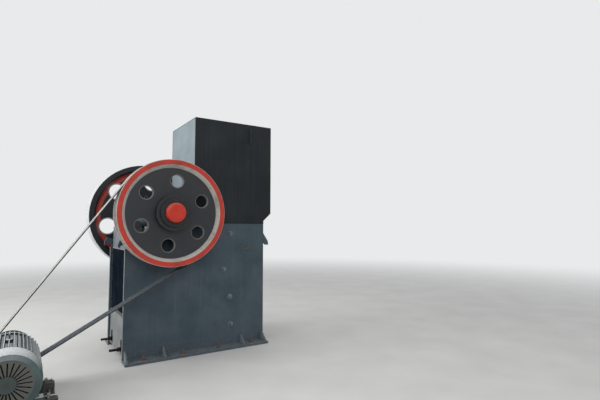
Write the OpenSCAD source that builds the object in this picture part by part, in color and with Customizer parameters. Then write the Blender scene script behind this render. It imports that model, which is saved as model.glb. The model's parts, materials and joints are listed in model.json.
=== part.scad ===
// Single-toggle jaw crusher with its feed chute, belt drive and motor on slide rails.
// Millimetres. X runs from the motor (rear, -X) to the feed end (front, +X), Y along the shaft, Z up.
// The origin is the middle of the anchor bolts, on the ground.

/* [Frame] */
// Length of the side plates
frame_l = 2610; // [2500:1:2800]
// Height of the side plates at the mouth
frame_h = 2350; // [2320:1:2400]
// Height of the side plates at the rear edge
rear_h = 1860; // [1800:1:1900]
// Thickness of the side plates
plate_t = 60; // [50:1:70]
// Width of each foot flange outside its side plate
foot_w = 230; // [200:1:260]
// Thickness of the foot flanges
foot_t = 40; // [30:1:50]
// Height of the gussets on the foot flanges
gusset_h = 150; // [120:1:200]
// Distance between neighbouring anchor bolts
anchor_pitch = 665; // [620:1:700]
// Diameter of the anchor bolt holes
anchor_d = 48; // [40:1:56]

/* [Shaft] */
// Distance of the shaft behind the middle of the side plates
shaft_back = 632; // [590:1:670]
// Height of the shaft
shaft_z = 2470; // [2440:1:2500]
// Diameter of the shaft in its main bearings
journal_d = 260; // [240:1:280]
// Diameter of the shaft in the wheel hubs
wheel_seat_d = 240; // [200:1:236]
// Diameter of the eccentric middle of the shaft
eccentric_d = 330; // [310:1:350]
// Throw of the eccentric
throw = 18; // [12:1:22]

/* [Wheels] */
// Radius of the grooved drive wheel
sheave_r = 905; // [860:1:950]
// Width of the drive wheel's rim
sheave_w = 280; // [260:1:300]
// Radius of the flywheel
flywheel_r = 1050; // [1000:1:1100]
// Width of the flywheel's rim
flywheel_w = 400; // [340:1:430]
// Thickness of the wheels' webs
web_t = 70; // [50:1:90]
// Number of round holes in each web
web_holes = 6; // [4:1:8]
// Radius of the hub caps
cap_r = 165; // [150:1:180]

/* [Belts] */
// Number of belts
belt_count = 8; // [4:1:8]
// Distance between neighbouring belts
belt_pitch = 29; // [28:0.5:31]
// Width of a groove at the rim
groove_w = 24; // [22:0.5:25]
// Depth of a groove
groove_depth = 22; // [20:0.5:26]
// Height of a belt
belt_h = 16; // [12:0.5:17]
// Gap between a belt and its groove
belt_gap = 0.6; // [0.4:0.1:1]

/* [Motor] */
// Horizontal distance from the crusher shaft to the motor shaft
motor_reach = 2200; // [2100:1:2300]
// Height of the motor shaft over the motor's feet
motor_centre_h = 355; // [355:1:400]
// Radius of the motor over its fins
motor_r = 350; // [330:1:352]
// Length of the finned housing
motor_l = 880; // [820:1:960]
// Radius of the motor pulley
pulley_r = 270; // [240:1:300]
// Diameter of the motor shaft
motor_shaft_d = 100; // [80:1:110]
// Distance of the motor's feet across the shaft
motor_foot_x = 610; // [580:1:640]
// Distance of the motor's feet along the shaft
motor_foot_y = 630; // [560:1:680]
// Height of the slide rails
rail_h = 145; // [120:1:170]

/* [Crushing chamber] */
// Opening between the jaws at the mouth
gape = 950; // [900:1:960]
// Opening between the jaws at the bottom
discharge = 150; // [100:1:180]
// Lean of the swing jaw from upright
jaw_lean = 21; // [19:0.5:22]
// Width of the jaw plates
jaw_w = 1190; // [1100:1:1250]
// Gap between the jaws and the cheek plates
side_gap = 10; // [6:1:20]
// Thickness of the jaw plates over their teeth
jaw_plate_t = 110; // [90:1:120]
// Number of teeth on each jaw plate
teeth = 14; // [10:1:18]
// Depth of the teeth
tooth_depth = 40; // [30:1:50]
// Thickness of the cheek plates
cheek_t = 40; // [30:1:45]

/* [Toggle and tension gear] */
// Height of the toggle plate
toggle_z = 500; // [480:1:520]
// Thickness of the toggle plate
toggle_t = 70; // [60:1:80]
// Height of the tension rods
tension_z = 165; // [160:1:190]
// Distance of each tension rod from the middle
tension_y = 430; // [400:1:460]
// Diameter of the tension rods
rod_d = 42; // [36:1:48]
// Outer radius of the tension springs
spring_r = 75; // [60:1:78]
// Length of the tension springs
spring_l = 150; // [120:1:180]
// Turns of each tension spring
spring_turns = 5; // [4:1:7]

/* [Feed chute] */
// Length of the chute over the mouth
chute_l = 1435; // [1400:1:1460]
// Height of the chute
chute_h = 1930; // [1600:1:2000]
// How far the chute reaches out over the front wall
chute_reach = 165; // [100:1:200]
// Height of the sloping plate under that reach
chute_slope_h = 150; // [80:1:250]
// Thickness of the chute's walls
chute_t = 12; // [10:1:16]
// Width of the chute's flanges
flange_w = 60; // [50:1:70]

/* [Hidden] */

$fn = 72;
fit = 0.1;             // gap between a shaft or ring and the bore that it is fitted in
run_gap = 8;           // free space round what turns

seat_gap = 0.3;        // gap between a jaw plate or clamp and the casting that it is bolted on

rear_x = -frame_l / 2;
front_x = frame_l / 2;
frame_w = jaw_w + 2 * (side_gap + cheek_t + plate_t);
outer_y = frame_w / 2;
inner_y = outer_y - plate_t;
inner_w = 2 * inner_y;
shaft_x = -shaft_back;

// Hooks for the lifting ropes. Front ones, measured down from the mouth
lug_t = 50;
lug_top = 226;
lug_shoulder = 392;    // where the hook's back turns down
lug_low = 466;
lug_reach = 121;
lug_bent_in = 12;      // how far the shoulder lies inside the tip
lug_arch_r = 65;
lug_arch_drop = 31;    // how far below the tip the arch has its middle

// Rear ones, measured from the low end of the side plates' sloping edges
rear_lug_lap = 0.45;   // share of the sloping edge that a hook is welded on
rear_lug_top = [-87, 177];
rear_lug_back = [-141, 80];
rear_lug_tip = [-127, 28];
rear_lug_arch_r = 51;
rear_lug_arch_at = [-64, 20];

// Guard and hood between the side plates at the rear
guard_in = 45;         // how far the guard stands in front of the plates' rear edges
guard_t = 12;
guard_flange = 70;
guard_gap = 60;        // slot between the toggle beam and the guard
hood_h = 480;
hood_upright = 380;
hood_lean = 90;
hood_top_l = 90;

// Bearing seats on the side plates
seat_half = 390;
seat_drop = 320;
seat_z = shaft_z - seat_drop;
seat_t = 50;
seat_slope = 30;
housing_r = 315;
housing_foot_t = 60;
bearing_r = 230;
housing_out = 230;     // how far the housings stand out from the side plates
housing_end = outer_y + housing_out;
cover_t = 25;
lip_t = 30;

// Wheels along the shaft, measured from the middle of the machine
sheave_in = outer_y + 170;
flywheel_in = outer_y + 150;
hub_in = housing_end + cover_t + 15;
hub_l = 250;
hub_out = hub_in + hub_l;
hub_r = 300;
hub_ring_r = 240;
hub_step = 40;
shaft_end = hub_out + 40;
cap_l = 80;
cap_wall = 25;

// Belt drive
motor_x = shaft_x - motor_reach;
motor_z = rail_h + motor_centre_h;
belt_a = atan2(motor_z - shaft_z, motor_x - shaft_x);
belt_d = norm([motor_z - shaft_z, motor_x - shaft_x]);
belt_b = acos((sheave_r - pulley_r) / belt_d);
belt_run = sqrt(pow(belt_d, 2) - pow(sheave_r - pulley_r, 2));
belt_mid = sheave_in + sheave_w / 2;
groove_tan = tan(19);
belt_proud = 2;
belt_lap = 0.05;       // how far a straight run reaches into the bends at its ends

// Motor along its shaft
motor_y0 = sheave_in + sheave_w + 75;      // drive end of the motor
shield_l = 110;
cowl_l = 300;
cowl_t = 4;
motor_core_r = motor_r - 50;
fin_t = 8;
fins = 44;
motor_mid = motor_y0 + shield_l + motor_l / 2;
motor_back_y = -motor_y0 - shield_l - motor_l;     // where the fan's cowl starts
rail_w = 110;
rail_l = 1050;
rail_flange_t = 35;
rail_flange_w = 190;

// Jaws. A point of the swing jaw is w in front of the shaft and u down along its face.
mouth_drop = 150;
mouth_z = frame_h - mouth_drop;
choke_z = 400;
head_r = 300;
plate_back_w = 320;
face_w = plate_back_w + jaw_plate_t;
function jaw(w, u) = [shaft_x + w * cos(jaw_lean) + u * sin(jaw_lean),
                      shaft_z + w * sin(jaw_lean) - u * cos(jaw_lean)];
function jaw_u(w, z) = (shaft_z + w * sin(jaw_lean) - z) / cos(jaw_lean);
function jaw_x(w, z) = jaw(w, jaw_u(w, z))[0];
fixed_top_x = jaw_x(face_w, mouth_z) + gape;
fixed_low_x = jaw_x(face_w, choke_z) + discharge;
fixed_lean = atan((fixed_top_x - fixed_low_x) / (mouth_z - choke_z));
function fixed_x(z) = fixed_low_x + (z - choke_z) * tan(fixed_lean);
function wall_x(z) = fixed_x(z) + jaw_plate_t / cos(fixed_lean);
front_rib = 200;       // how deep the ribs outside the front wall are
front_rib_t = 50;
front_rib_rows = 5;
wall_low_z = choke_z - 70;
jaw_top_u = jaw_u(face_w, mouth_z);
jaw_low_u = jaw_u(face_w, choke_z);
clamp_h = 90;
clamp_lip = 25;

// Toggle and tension gear
beam_in = 37;
beam_l = 300;
beam_x0 = rear_x + beam_in;
beam_x1 = beam_x0 + beam_l;
beam_z0 = 60;
beam_z1 = toggle_z + 190;
wedge_l = 100;
seat_l = 110;
seat_h = 180;
toggle_w = 1080;
toggle_end_r = 45;
seat_lip = 20;         // how deep the toggle's round ends lie in their seats
jaw_seat_x = shaft_x + 750;
toggle_x0 = beam_x1 + wedge_l + seat_l - seat_lip;
toggle_x1 = jaw_seat_x - seat_l + seat_lip;
spring_wire_r = 12;
spring_plate_t = 20;
pocket_l = spring_plate_t + spring_l;
nut_r = 36;
nut_l = 55;
lock_w = 40;           // bar that locks each nut, against the toggle beam
lock_t = 14;
lock_up = 155;
lock_down = 40;
rod_out = 190;         // how far the rods stand out behind the toggle beam
rod_x0 = beam_x0 - rod_out;
rod_x1 = jaw_seat_x + 250;

// Feed chute
chute_x1 = front_x + chute_reach;
chute_x0 = front_x - chute_l;
chute_z1 = frame_h + chute_h;
flange_t = 10;
chute_z0 = frame_h + flange_t;
flange_bolt_d = 18;
skirt_t = 8;
skirt_h = 45;
chute_rib_x = front_x - 315;
chute_rib_w = 60;
chute_rib_t = 10;
chute_rib_h = 310;
chute_rib_drop = 80;

paint = [0.25, 0.32, 0.38];
rim_red = [0.66, 0.30, 0.28];
cap_red = [0.75, 0.20, 0.17];
iron = [0.27, 0.28, 0.31];
steel = [0.55, 0.56, 0.58];
manganese = [0.40, 0.39, 0.38];
motor_green = [0.30, 0.36, 0.36];
belt_black = [0.08, 0.08, 0.08];

// Extrudes an X-Z outline along Y, from y0 to y1
module along_y(y0, y1) {
    translate([0, y1, 0]) rotate([90, 0, 0]) linear_extrude(height = y1 - y0) children();
}

// A cylinder along Y, from y0 to y1, with its axis at x, z
module bar_y(x, z, r, y0, y1, n = 72) {
    translate([x, y1, z]) rotate([90, 0, 0]) cylinder(h = y1 - y0, r = r, $fn = n);
}

// A cylinder along X, from x0 to x1
module bar_x(x0, x1, y, z, r, n = 48) {
    translate([x0, y, z]) rotate([0, 90, 0]) cylinder(h = x1 - x0, r = r, $fn = n);
}

// A box from corner a to corner b
module block(a, b) {
    translate(a) cube(b - a);
}

// Puts the near side's solids (-Y) on the far side too
module far_side() {
    mirror([0, 1, 0]) children();
}

module side_plate() {
    along_y(-outer_y, -inner_y) polygon([
        [rear_x, 0], [front_x, 0], [front_x, frame_h], [shaft_x + seat_half, frame_h],
        [shaft_x + seat_half, seat_z], [shaft_x - seat_half, seat_z],
        [shaft_x - seat_half - seat_slope, seat_z], [rear_x + seat_slope, rear_h], [rear_x, rear_h]]);
}

module side_plate_near() {
    color(paint) side_plate();
}

module side_plate_far() {
    color(paint) far_side() side_plate();
}

module front_wall() {
    rib_x0 = front_x - front_rib;
    row_pitch = (frame_h - front_rib_t - wall_low_z) / (front_rib_rows - 1);
    row_in = 20;           // how far the rows stay behind the side plates' front edges
    post_in = 60;
    post_t = 40;
    color(paint) {
        along_y(-inner_y, inner_y) polygon([
            [wall_x(wall_low_z), wall_low_z], [rib_x0, wall_low_z],
            [rib_x0, frame_h], [wall_x(frame_h), frame_h]]);
        for (i = [0 : front_rib_rows - 1])
            translate([rib_x0, -inner_y, wall_low_z + i * row_pitch])
                cube([front_rib - row_in, inner_w, front_rib_t]);
        for (y = [-inner_y / 2, 0, inner_y / 2])
            translate([rib_x0, y - post_t / 2, wall_low_z])
                cube([front_rib - post_in, post_t, frame_h - wall_low_z]);
    }
}

// Box beam across the rear, with a pocket round each tension rod for its spring
module toggle_beam() {
    color(paint) difference() {
        block([beam_x0, -inner_y, beam_z0], [beam_x1, inner_y, beam_z1]);
        for (y = [-tension_y, tension_y]) {
            bar_x(beam_x0 - 1, beam_x1 + 1, y, tension_z, rod_d / 2 + run_gap);
            bar_x(beam_x0 - 1, beam_x0 + pocket_l, y, tension_z, spring_r + run_gap);
        }
    }
}

module rear_guard() {
    x0 = rear_x + guard_in;
    z0 = beam_z1 + guard_gap;
    stiffener = 48;
    color(paint) {
        block([x0, -inner_y, z0], [x0 + guard_t, inner_y, rear_h]);
        block([x0, -inner_y, rear_h - guard_t], [x0 + guard_flange, inner_y, rear_h]);
        block([x0 + guard_t, -guard_t, z0], [x0 + guard_t + stiffener, guard_t, rear_h - guard_t]);
    }
}

// Bent plate over the rear of the jaw, upright and then leaning in, with a cheek at each end
module rear_hood() {
    x0 = rear_x + guard_in;
    knee = rear_h + hood_upright;
    top = rear_h + hood_h;
    cheek_y = inner_y - guard_t / 2;
    low_x = x0 + guard_flange + 2;
    lap = 60;              // how far the cheeks run down inside the side plates
    color(paint) {
        along_y(-inner_y, inner_y) polygon([
            [x0, rear_h], [x0 + guard_t, rear_h], [x0 + guard_t, knee],
            [x0 + guard_t + hood_lean, top - guard_t],
            [x0 + hood_lean + hood_top_l, top - guard_t], [x0 + hood_lean + hood_top_l, top],
            [x0 + hood_lean, top], [x0, knee]]);
        for (s = [-1, 1])
            along_y(s * cheek_y - guard_t / 2, s * cheek_y + guard_t / 2) polygon([
                [x0, rear_h], [x0, knee], [x0 + hood_lean, top], [x0 + hood_lean + hood_top_l, top],
                [shaft_x - seat_half, seat_z + lap], [shaft_x - seat_half, seat_z - lap],
                [low_x, rear_h - lap], [low_x, rear_h]]);
    }
}

module foot() {
    gusset_t = 30;
    gusset_top = 40;
    mid_gussets = [-645, 820];
    gusset_x = concat([rear_x + gusset_top], mid_gussets, [front_x - gusset_top]);
    toe = 20;
    color(paint) {
        difference() {
            block([rear_x, -outer_y - foot_w, 0], [front_x, -outer_y, foot_t]);
            for (i = [-1.5 : 1 : 1.5])
                translate([i * anchor_pitch, -outer_y - foot_w / 2, -1])
                    cylinder(h = foot_t + 2, d = anchor_d);
        }
        for (x = gusset_x)
            translate([x + gusset_t / 2, -outer_y, foot_t]) rotate([0, -90, 0])
                linear_extrude(height = gusset_t)
                    polygon([[0, 0], [gusset_h, 0], [gusset_h, -gusset_top], [0, toe - foot_w]]);
    }
}

module foot_near() {
    foot();
}

module foot_far() {
    far_side() foot();
}

module front_lugs() {
    mid_y = outer_y - plate_t / 2;
    color(paint) for (s = [-1, 1])
        along_y(s * mid_y - lug_t / 2, s * mid_y + lug_t / 2)
            translate([front_x, frame_h]) difference() {
                polygon([
                    [0, -lug_low], [lug_reach, -lug_low], [lug_reach - lug_bent_in, -lug_shoulder],
                    [0, -lug_top]]);
                translate([0, -lug_low - lug_arch_drop]) circle(r = lug_arch_r, $fn = 48);
            }
}

module rear_lugs() {
    mid_y = outer_y - plate_t / 2;
    corner = [rear_x + seat_slope, rear_h];
    slope = [shaft_x - seat_half - seat_slope, seat_z] - corner;
    back_low = [-1, -23];      // from the middle of the back down to where the tip bends in
    crown = [-16, -7];         // from the top back to where the back starts
    arch = [-rear_lug_arch_r, rear_lug_arch_r];
    color(paint) for (s = [-1, 1])
        along_y(s * mid_y - lug_t / 2, s * mid_y + lug_t / 2) translate(corner) difference() {
            polygon([
                [0, 0], [rear_lug_arch_at[0] + arch[1], 0],
                rear_lug_arch_at + [arch[1], 0], rear_lug_arch_at + [arch[0], 0],
                rear_lug_tip, rear_lug_back + back_low, rear_lug_back,
                rear_lug_top + crown, rear_lug_top, slope * rear_lug_lap]);
            translate(rear_lug_arch_at) circle(r = rear_lug_arch_r, $fn = 48);
        }
}

// Bracket outside the side plate that carries the bearing housing
module bearing_seat() {
    drop = 260;
    rib_t = 40;
    inner_rib = 150;
    toe = 40;
    color(paint) {
        block([shaft_x - seat_half, -housing_end, seat_z - seat_t], [shaft_x + seat_half, -outer_y, seat_z]);
        for (x = [-seat_half, -inner_rib, inner_rib - rib_t, seat_half - rib_t])
            translate([shaft_x + x + rib_t, -outer_y, seat_z - seat_t]) rotate([0, -90, 0])
                linear_extrude(height = rib_t) polygon([
                    [0, 0], [0, -housing_out], [-toe, -housing_out], [-drop, -toe], [-drop, 0]]);
    }
}

module bearing_seat_near() {
    bearing_seat();
}

module bearing_seat_far() {
    far_side() bearing_seat();
}

module bearing_housing() {
    foot_half = seat_half - 20;
    foot_z = seat_z + housing_foot_t;
    body_in = 20;
    color(paint) difference() {
        union() {
            bar_y(shaft_x, shaft_z, housing_r, -housing_end, -inner_y);
            block([shaft_x - foot_half, -housing_end, seat_z], [shaft_x + foot_half, -inner_y, foot_z]);
            block([shaft_x - housing_r, -housing_end + body_in, foot_z],
                  [shaft_x + housing_r, -inner_y - body_in, shaft_z]);
        }
        bar_y(shaft_x, shaft_z, bearing_r, -housing_end - 1, -inner_y - lip_t);
        bar_y(shaft_x, shaft_z, journal_d / 2 + run_gap, -housing_end - 1, -inner_y + 1);
    }
}

module bearing_housing_near() {
    bearing_housing();
}

module bearing_housing_far() {
    far_side() bearing_housing();
}

module main_bearing() {
    color(steel) difference() {
        bar_y(shaft_x, shaft_z, bearing_r - fit, -housing_end + 10, -inner_y - lip_t);
        bar_y(shaft_x, shaft_z, journal_d / 2 + fit / 2, -housing_end, -inner_y);
    }
}

module main_bearing_near() {
    main_bearing();
}

module main_bearing_far() {
    far_side() main_bearing();
}

module bearing_cover() {
    color(iron) difference() {
        bar_y(shaft_x, shaft_z, housing_r - 15, -housing_end - cover_t, -housing_end);
        bar_y(shaft_x, shaft_z, journal_d / 2 + run_gap, -housing_end - cover_t - 1, -housing_end + 1);
    }
}

module bearing_cover_near() {
    bearing_cover();
}

module bearing_cover_far() {
    far_side() bearing_cover();
}

// Outline of a toothed plate, as wide as the jaw: back at 0, teeth tops at jaw_plate_t
module toothed_outline() {
    p = jaw_w / teeth;
    root = jaw_plate_t - tooth_depth;
    corners = [0.08, 0.36, 0.64, 0.92];        // corners of a tooth, in pitches
    polygon(concat(
        [[jaw_w / 2, 0], [-jaw_w / 2, 0]],
        [for (i = [0 : teeth - 1], k = [0 : 3])
            [-jaw_w / 2 + (i + corners[k]) * p, (k == 0 || k == 3) ? root : jaw_plate_t]]));
}

module fixed_jaw_plate() {
    c = cos(fixed_lean);
    s = sin(fixed_lean);
    z0 = choke_z - 40;
    color(manganese)
        multmatrix([[0, -c, s, wall_x(z0) - seat_gap], [1, 0, 0, 0], [0, s, c, z0], [0, 0, 0, 1]])
            linear_extrude(height = (mouth_z + 10 - z0) / c) toothed_outline();
}

module fixed_jaw_clamp() {
    z0 = mouth_z + 12 + jaw_plate_t * sin(fixed_lean);
    z1 = z0 + clamp_h;
    color(iron) along_y(-jaw_w / 2, jaw_w / 2) translate([-seat_gap, 0]) polygon([
        [wall_x(z0), z0], [wall_x(z0) - jaw_plate_t + clamp_lip, z0],
        [wall_x(z0) - jaw_plate_t + 2 * clamp_lip, z1], [wall_x(z1), z1]]);
}

module swing_jaw() {
    front_w = plate_back_w - 80;               // back of the plate that carries the teeth
    head_u = 120;
    rib_w = -180;
    rib_low = [-60, 1300];
    end_u = jaw_low_u + 20;
    block_z0 = toggle_z - 110;
    block_z1 = toggle_z + 110;
    rib_t = 60;
    rib_pitch = (jaw_w - rib_t) / 3;
    rod_boss = 60;
    boss_x = [rod_x1 - 160, rod_x1 - 20];
    color(paint) difference() {
        union() {
            bar_y(shaft_x, shaft_z, head_r, -jaw_w / 2, jaw_w / 2);
            along_y(-jaw_w / 2, jaw_w / 2) polygon([
                jaw(front_w, 0), jaw(plate_back_w, head_u), jaw(plate_back_w, end_u),
                jaw(front_w, end_u)]);
            for (i = [-1.5 : 1 : 1.5])
                along_y(i * rib_pitch - rib_t / 2, i * rib_pitch + rib_t / 2) polygon([
                    jaw(rib_w, head_u), jaw(front_w, 0), jaw(front_w, end_u),
                    jaw(front_w - rib_t, end_u), [jaw_seat_x, block_z0], [jaw_seat_x, block_z1],
                    jaw(rib_low[0], rib_low[1])]);
            along_y(-jaw_w / 2, jaw_w / 2) polygon([
                [jaw_seat_x, block_z0], [jaw_x(front_w, block_z0), block_z0],
                [jaw_x(front_w, block_z1), block_z1], [jaw_seat_x, block_z1]]);
            for (y = [-tension_y, tension_y])
                block([boss_x[0], y - rod_boss, tension_z - rod_boss],
                      [boss_x[1], y + rod_boss, block_z0 + 20]);
        }
        bar_y(shaft_x, shaft_z, eccentric_d / 2 + throw + run_gap, -jaw_w, jaw_w);
        for (y = [-tension_y, tension_y])
            bar_x(boss_x[0] - 40, rod_x1, y, tension_z, rod_d / 2 + fit);
    }
}

module swing_jaw_plate() {
    c = cos(jaw_lean);
    s = sin(jaw_lean);
    p = jaw(plate_back_w + seat_gap, jaw_top_u);
    color(manganese)
        multmatrix([[0, c, s, p[0]], [1, 0, 0, 0], [0, s, -c, p[1]], [0, 0, 0, 1]])
            linear_extrude(height = jaw_low_u - jaw_top_u) toothed_outline();
}

module swing_jaw_clamp() {
    back = plate_back_w + seat_gap;
    low_u = jaw_top_u - 1;
    high_u = jaw_top_u - clamp_h;
    color(iron) along_y(-jaw_w / 2, jaw_w / 2) polygon([
        jaw(back, low_u), jaw(back + jaw_plate_t - clamp_lip, low_u),
        jaw(back + jaw_plate_t - 2 * clamp_lip, high_u), jaw(back, high_u)]);
}

module cheek_plates() {
    gap = 12;
    mid_y = inner_y - cheek_t / 2;
    mid_z = (mouth_z + choke_z) / 2;
    color(manganese) for (s = [-1, 1], part = [[choke_z + 20, mid_z - 2], [mid_z + 2, mouth_z - 10]])
        along_y(s * mid_y - cheek_t / 2, s * mid_y + cheek_t / 2) polygon([
            [jaw_x(face_w, part[0]) + gap, part[0]], [fixed_x(part[0]) - gap, part[0]],
            [fixed_x(part[1]) - gap, part[1]], [jaw_x(face_w, part[1]) + gap, part[1]]]);
}

module toggle_plate() {
    lap = 20;              // how far the plate stops short of the middles of its round ends
    color(iron) {
        block([toggle_x0 + lap, -toggle_w / 2, toggle_z - toggle_t / 2],
              [toggle_x1 - lap, toggle_w / 2, toggle_z + toggle_t / 2]);
        for (x = [toggle_x0, toggle_x1])
            bar_y(x, toggle_z, toggle_end_r, -toggle_w / 2, toggle_w / 2);
    }
}

module toggle_seats() {
    color(iron) difference() {
        for (x = [beam_x1 + wedge_l, jaw_seat_x - seat_l])
            block([x, -toggle_w / 2, toggle_z - seat_h / 2],
                  [x + seat_l, toggle_w / 2, toggle_z + seat_h / 2]);
        for (x = [toggle_x0, toggle_x1])
            bar_y(x, toggle_z, toggle_end_r + fit, -toggle_w, toggle_w);
        block([toggle_x0, -toggle_w, toggle_z - toggle_end_r],
              [toggle_x1, toggle_w, toggle_z + toggle_end_r]);
    }
}

// Pairs of wedges behind the rear toggle seat, thicker or thinner as they slide
module adjusting_wedges() {
    gap = 1;
    thin = 30;
    thick = 70;
    slide_gap = 0.2;
    color(iron) for (s = [-1, 1])
        mirror([0, s < 0 ? 1 : 0, 0]) translate([beam_x1, 0, toggle_z - seat_h / 2]) {
            linear_extrude(height = seat_h) polygon([
                [0, gap], [thick, gap], [thin, toggle_w / 2], [0, toggle_w / 2]]);
            linear_extrude(height = seat_h) polygon([
                [wedge_l, gap], [thick + slide_gap, gap],
                [thin + slide_gap, toggle_w / 2], [wedge_l, toggle_w / 2]]);
        }
}

// Rods from the swing jaw through the toggle beam, each with its spring plate, locking bar and nuts
module tension_rods() {
    head_l = 40;
    plate_over = 4;        // how far the spring plates stand out past the springs
    color(iron) for (y = [-tension_y, tension_y]) {
        bar_x(rod_x0, rod_x1, y, tension_z, rod_d / 2);
        bar_x(rod_x1 - head_l / 2, rod_x1 + head_l / 2, y, tension_z, nut_r, 6);
        bar_x(beam_x0, beam_x0 + spring_plate_t, y, tension_z, spring_r + plate_over);
        block([beam_x0 - lock_t, y - lock_w / 2, tension_z - lock_down],
              [beam_x0, y + lock_w / 2, tension_z + lock_up]);
        bar_x(beam_x0 - lock_t - nut_l, beam_x0 - lock_t, y, tension_z, nut_r, 6);
    }
}

// Each spring is a row of rings on a thin sleeve, as long and as thick as the real coil
module tension_springs() {
    pitch = (spring_l - 2 * spring_wire_r) / spring_turns;
    sleeve_t = 8;
    coil_r = spring_r - spring_wire_r;
    color(belt_black) for (y = [-tension_y, tension_y])
        translate([beam_x0 + spring_plate_t, y, tension_z]) rotate([0, 90, 0]) rotate_extrude($fn = 48) {
            for (i = [0 : spring_turns])
                translate([coil_r, spring_wire_r + i * pitch]) circle(r = spring_wire_r, $fn = 24);
            translate([coil_r - sleeve_t / 2, 0]) square([sleeve_t, spring_l]);
        }
}

// Side of the chute, flush with the side plate, with a short stiffener near its front corner
module chute_side() {
    color(paint) {
        along_y(-outer_y, -outer_y + chute_t) polygon([
            [chute_x0, chute_z0], [front_x, chute_z0], [chute_x1, chute_z0 + chute_slope_h],
            [chute_x1, chute_z1 - flange_t], [chute_x0, chute_z1 - flange_t]]);
        translate([chute_rib_x, -outer_y - chute_rib_w, chute_z1 - chute_rib_drop - chute_rib_h])
            cube([chute_rib_t, chute_rib_w, chute_rib_h]);
    }
}

module chute_near() {
    chute_side();
}

module chute_far() {
    far_side() chute_side();
}

// Front wall of the chute: a sloping plate out from the mouth, bent up into the upright wall
module chute_front() {
    slope = chute_slope_h / chute_reach;
    lift = chute_t * sqrt(1 + pow(slope, 2));
    inner_x = chute_x1 - chute_t;
    color(paint) along_y(-outer_y + chute_t, outer_y - chute_t) polygon([
        [front_x - chute_t, chute_z0], [front_x, chute_z0], [chute_x1, chute_z0 + chute_slope_h],
        [chute_x1, chute_z1 - flange_t], [inner_x, chute_z1 - flange_t],
        [inner_x, chute_z0 + (inner_x - front_x) * slope + lift],
        [front_x - chute_t, chute_z0 - chute_t * slope + lift]]);
}

module chute_rear() {
    color(paint) block([chute_x0, -outer_y + chute_t, chute_z0],
                       [chute_x0 + chute_t, outer_y - chute_t, chute_z1 - flange_t]);
}

// A flat ring inside the chute's outline
module chute_flange(z, x1) {
    difference() {
        block([chute_x0, -outer_y, z], [x1, outer_y, z + flange_t]);
        block([chute_x0 + flange_w, -outer_y + flange_w, z - 1],
              [x1 - flange_w, outer_y - flange_w, z + flange_t + 1]);
    }
}

// Skirt of the mouth flange that laps over the side plate
module mouth_skirt() {
    block([chute_x0, -outer_y - skirt_t, frame_h - skirt_h], [front_x, -outer_y, frame_h + flange_t]);
}

module chute_mouth_flange() {
    color(paint) {
        chute_flange(frame_h, front_x);
        mouth_skirt();
        far_side() mouth_skirt();
    }
}

module chute_top_flange() {
    hole_in = flange_w / 2 + 6;
    color(paint) difference() {
        chute_flange(chute_z1 - flange_t, chute_x1);
        for (x = [chute_x0 + hole_in, chute_x1 - hole_in], y = [-outer_y + hole_in, 0, outer_y - hole_in])
            translate([x, y, chute_z1 - flange_t - 1]) cylinder(h = flange_t + 2, d = flange_bolt_d);
    }
}

// Outline of the V grooves of a rim of radius r, for a rim whose middle is at h
module groove_outline(r, h) {
    for (i = [0 : belt_count - 1])
        translate([r, h + (i - (belt_count - 1) / 2) * belt_pitch]) polygon([
            [1, -groove_w / 2 - groove_tan], [1, groove_w / 2 + groove_tan],
            [-groove_depth, groove_w / 2 - groove_depth * groove_tan],
            [-groove_depth, groove_depth * groove_tan - groove_w / 2]]);
}

// Section of one belt, out from the rim and along the shaft
module belt_section() {
    function half(depth) = groove_w / 2 - depth * groove_tan - belt_gap;
    low = belt_h - belt_proud;
    polygon([
        [belt_proud, -half(-belt_proud)], [belt_proud, half(-belt_proud)],
        [-low, half(low)], [-low, -half(low)]]);
}

module belt_arc(x, z, r, from, sweep) {
    translate([x, z, 0]) rotate([0, 0, from]) rotate_extrude(angle = sweep, $fn = 120)
        translate([r, 0]) belt_section();
}

module v_belts() {
    color(belt_black) rotate([90, 0, 0]) for (i = [0 : belt_count - 1])
        translate([0, 0, belt_mid + (i - (belt_count - 1) / 2) * belt_pitch]) {
            belt_arc(shaft_x, shaft_z, sheave_r, belt_a + belt_b, 360 - 2 * belt_b);
            belt_arc(motor_x, motor_z, pulley_r, belt_a - belt_b, 2 * belt_b);
            for (s = [-1, 1])
                translate([shaft_x, shaft_z, 0]) rotate([0, 0, belt_a + s * belt_b])
                    translate([sheave_r, 0, 0]) rotate([90, 0, 0])
                        translate([0, 0, (s < 0 ? -belt_run : 0) - belt_lap])
                            linear_extrude(height = belt_run + 2 * belt_lap) belt_section();
        }
}

// A dished wheel on its own axis, its inner face at 0: rim, web and hub as one revolved outline
module wheel_outline(r, w, rim_t, cone, web_z, hub_z0, hub_z1, bore_r) {
    rim_in = r - rim_t;
    edge = 6;
    polygon([
        [bore_r, hub_z0], [hub_ring_r, hub_z0], [hub_r, hub_z0 + hub_step], [hub_r, web_z],
        [rim_in - cone, web_z], [rim_in, 0], [r - edge, 0], [r, edge], [r, w - edge], [r - edge, w],
        [rim_in, w], [rim_in - cone, web_z + web_t], [hub_r, web_z + web_t], [hub_r, hub_z1 - hub_step],
        [hub_ring_r, hub_z1 - hub_step], [hub_ring_r, hub_z1], [bore_r, hub_z1]]);
}

module web_hole_cuts(pitch_r, hole_r, web_z, first) {
    chamfer = 12;
    for (i = [0 : web_holes - 1])
        rotate([0, 0, first + i * 360 / web_holes]) translate([pitch_r, 0, web_z]) {
            translate([0, 0, -1]) cylinder(h = web_t + 2, r = hole_r);
            translate([0, 0, web_t - chamfer])
                cylinder(h = chamfer + 1, r1 = hole_r, r2 = hole_r + chamfer + 1);
            translate([0, 0, -1]) cylinder(h = chamfer + 1, r1 = hole_r + chamfer + 1, r2 = hole_r);
        }
}

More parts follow.
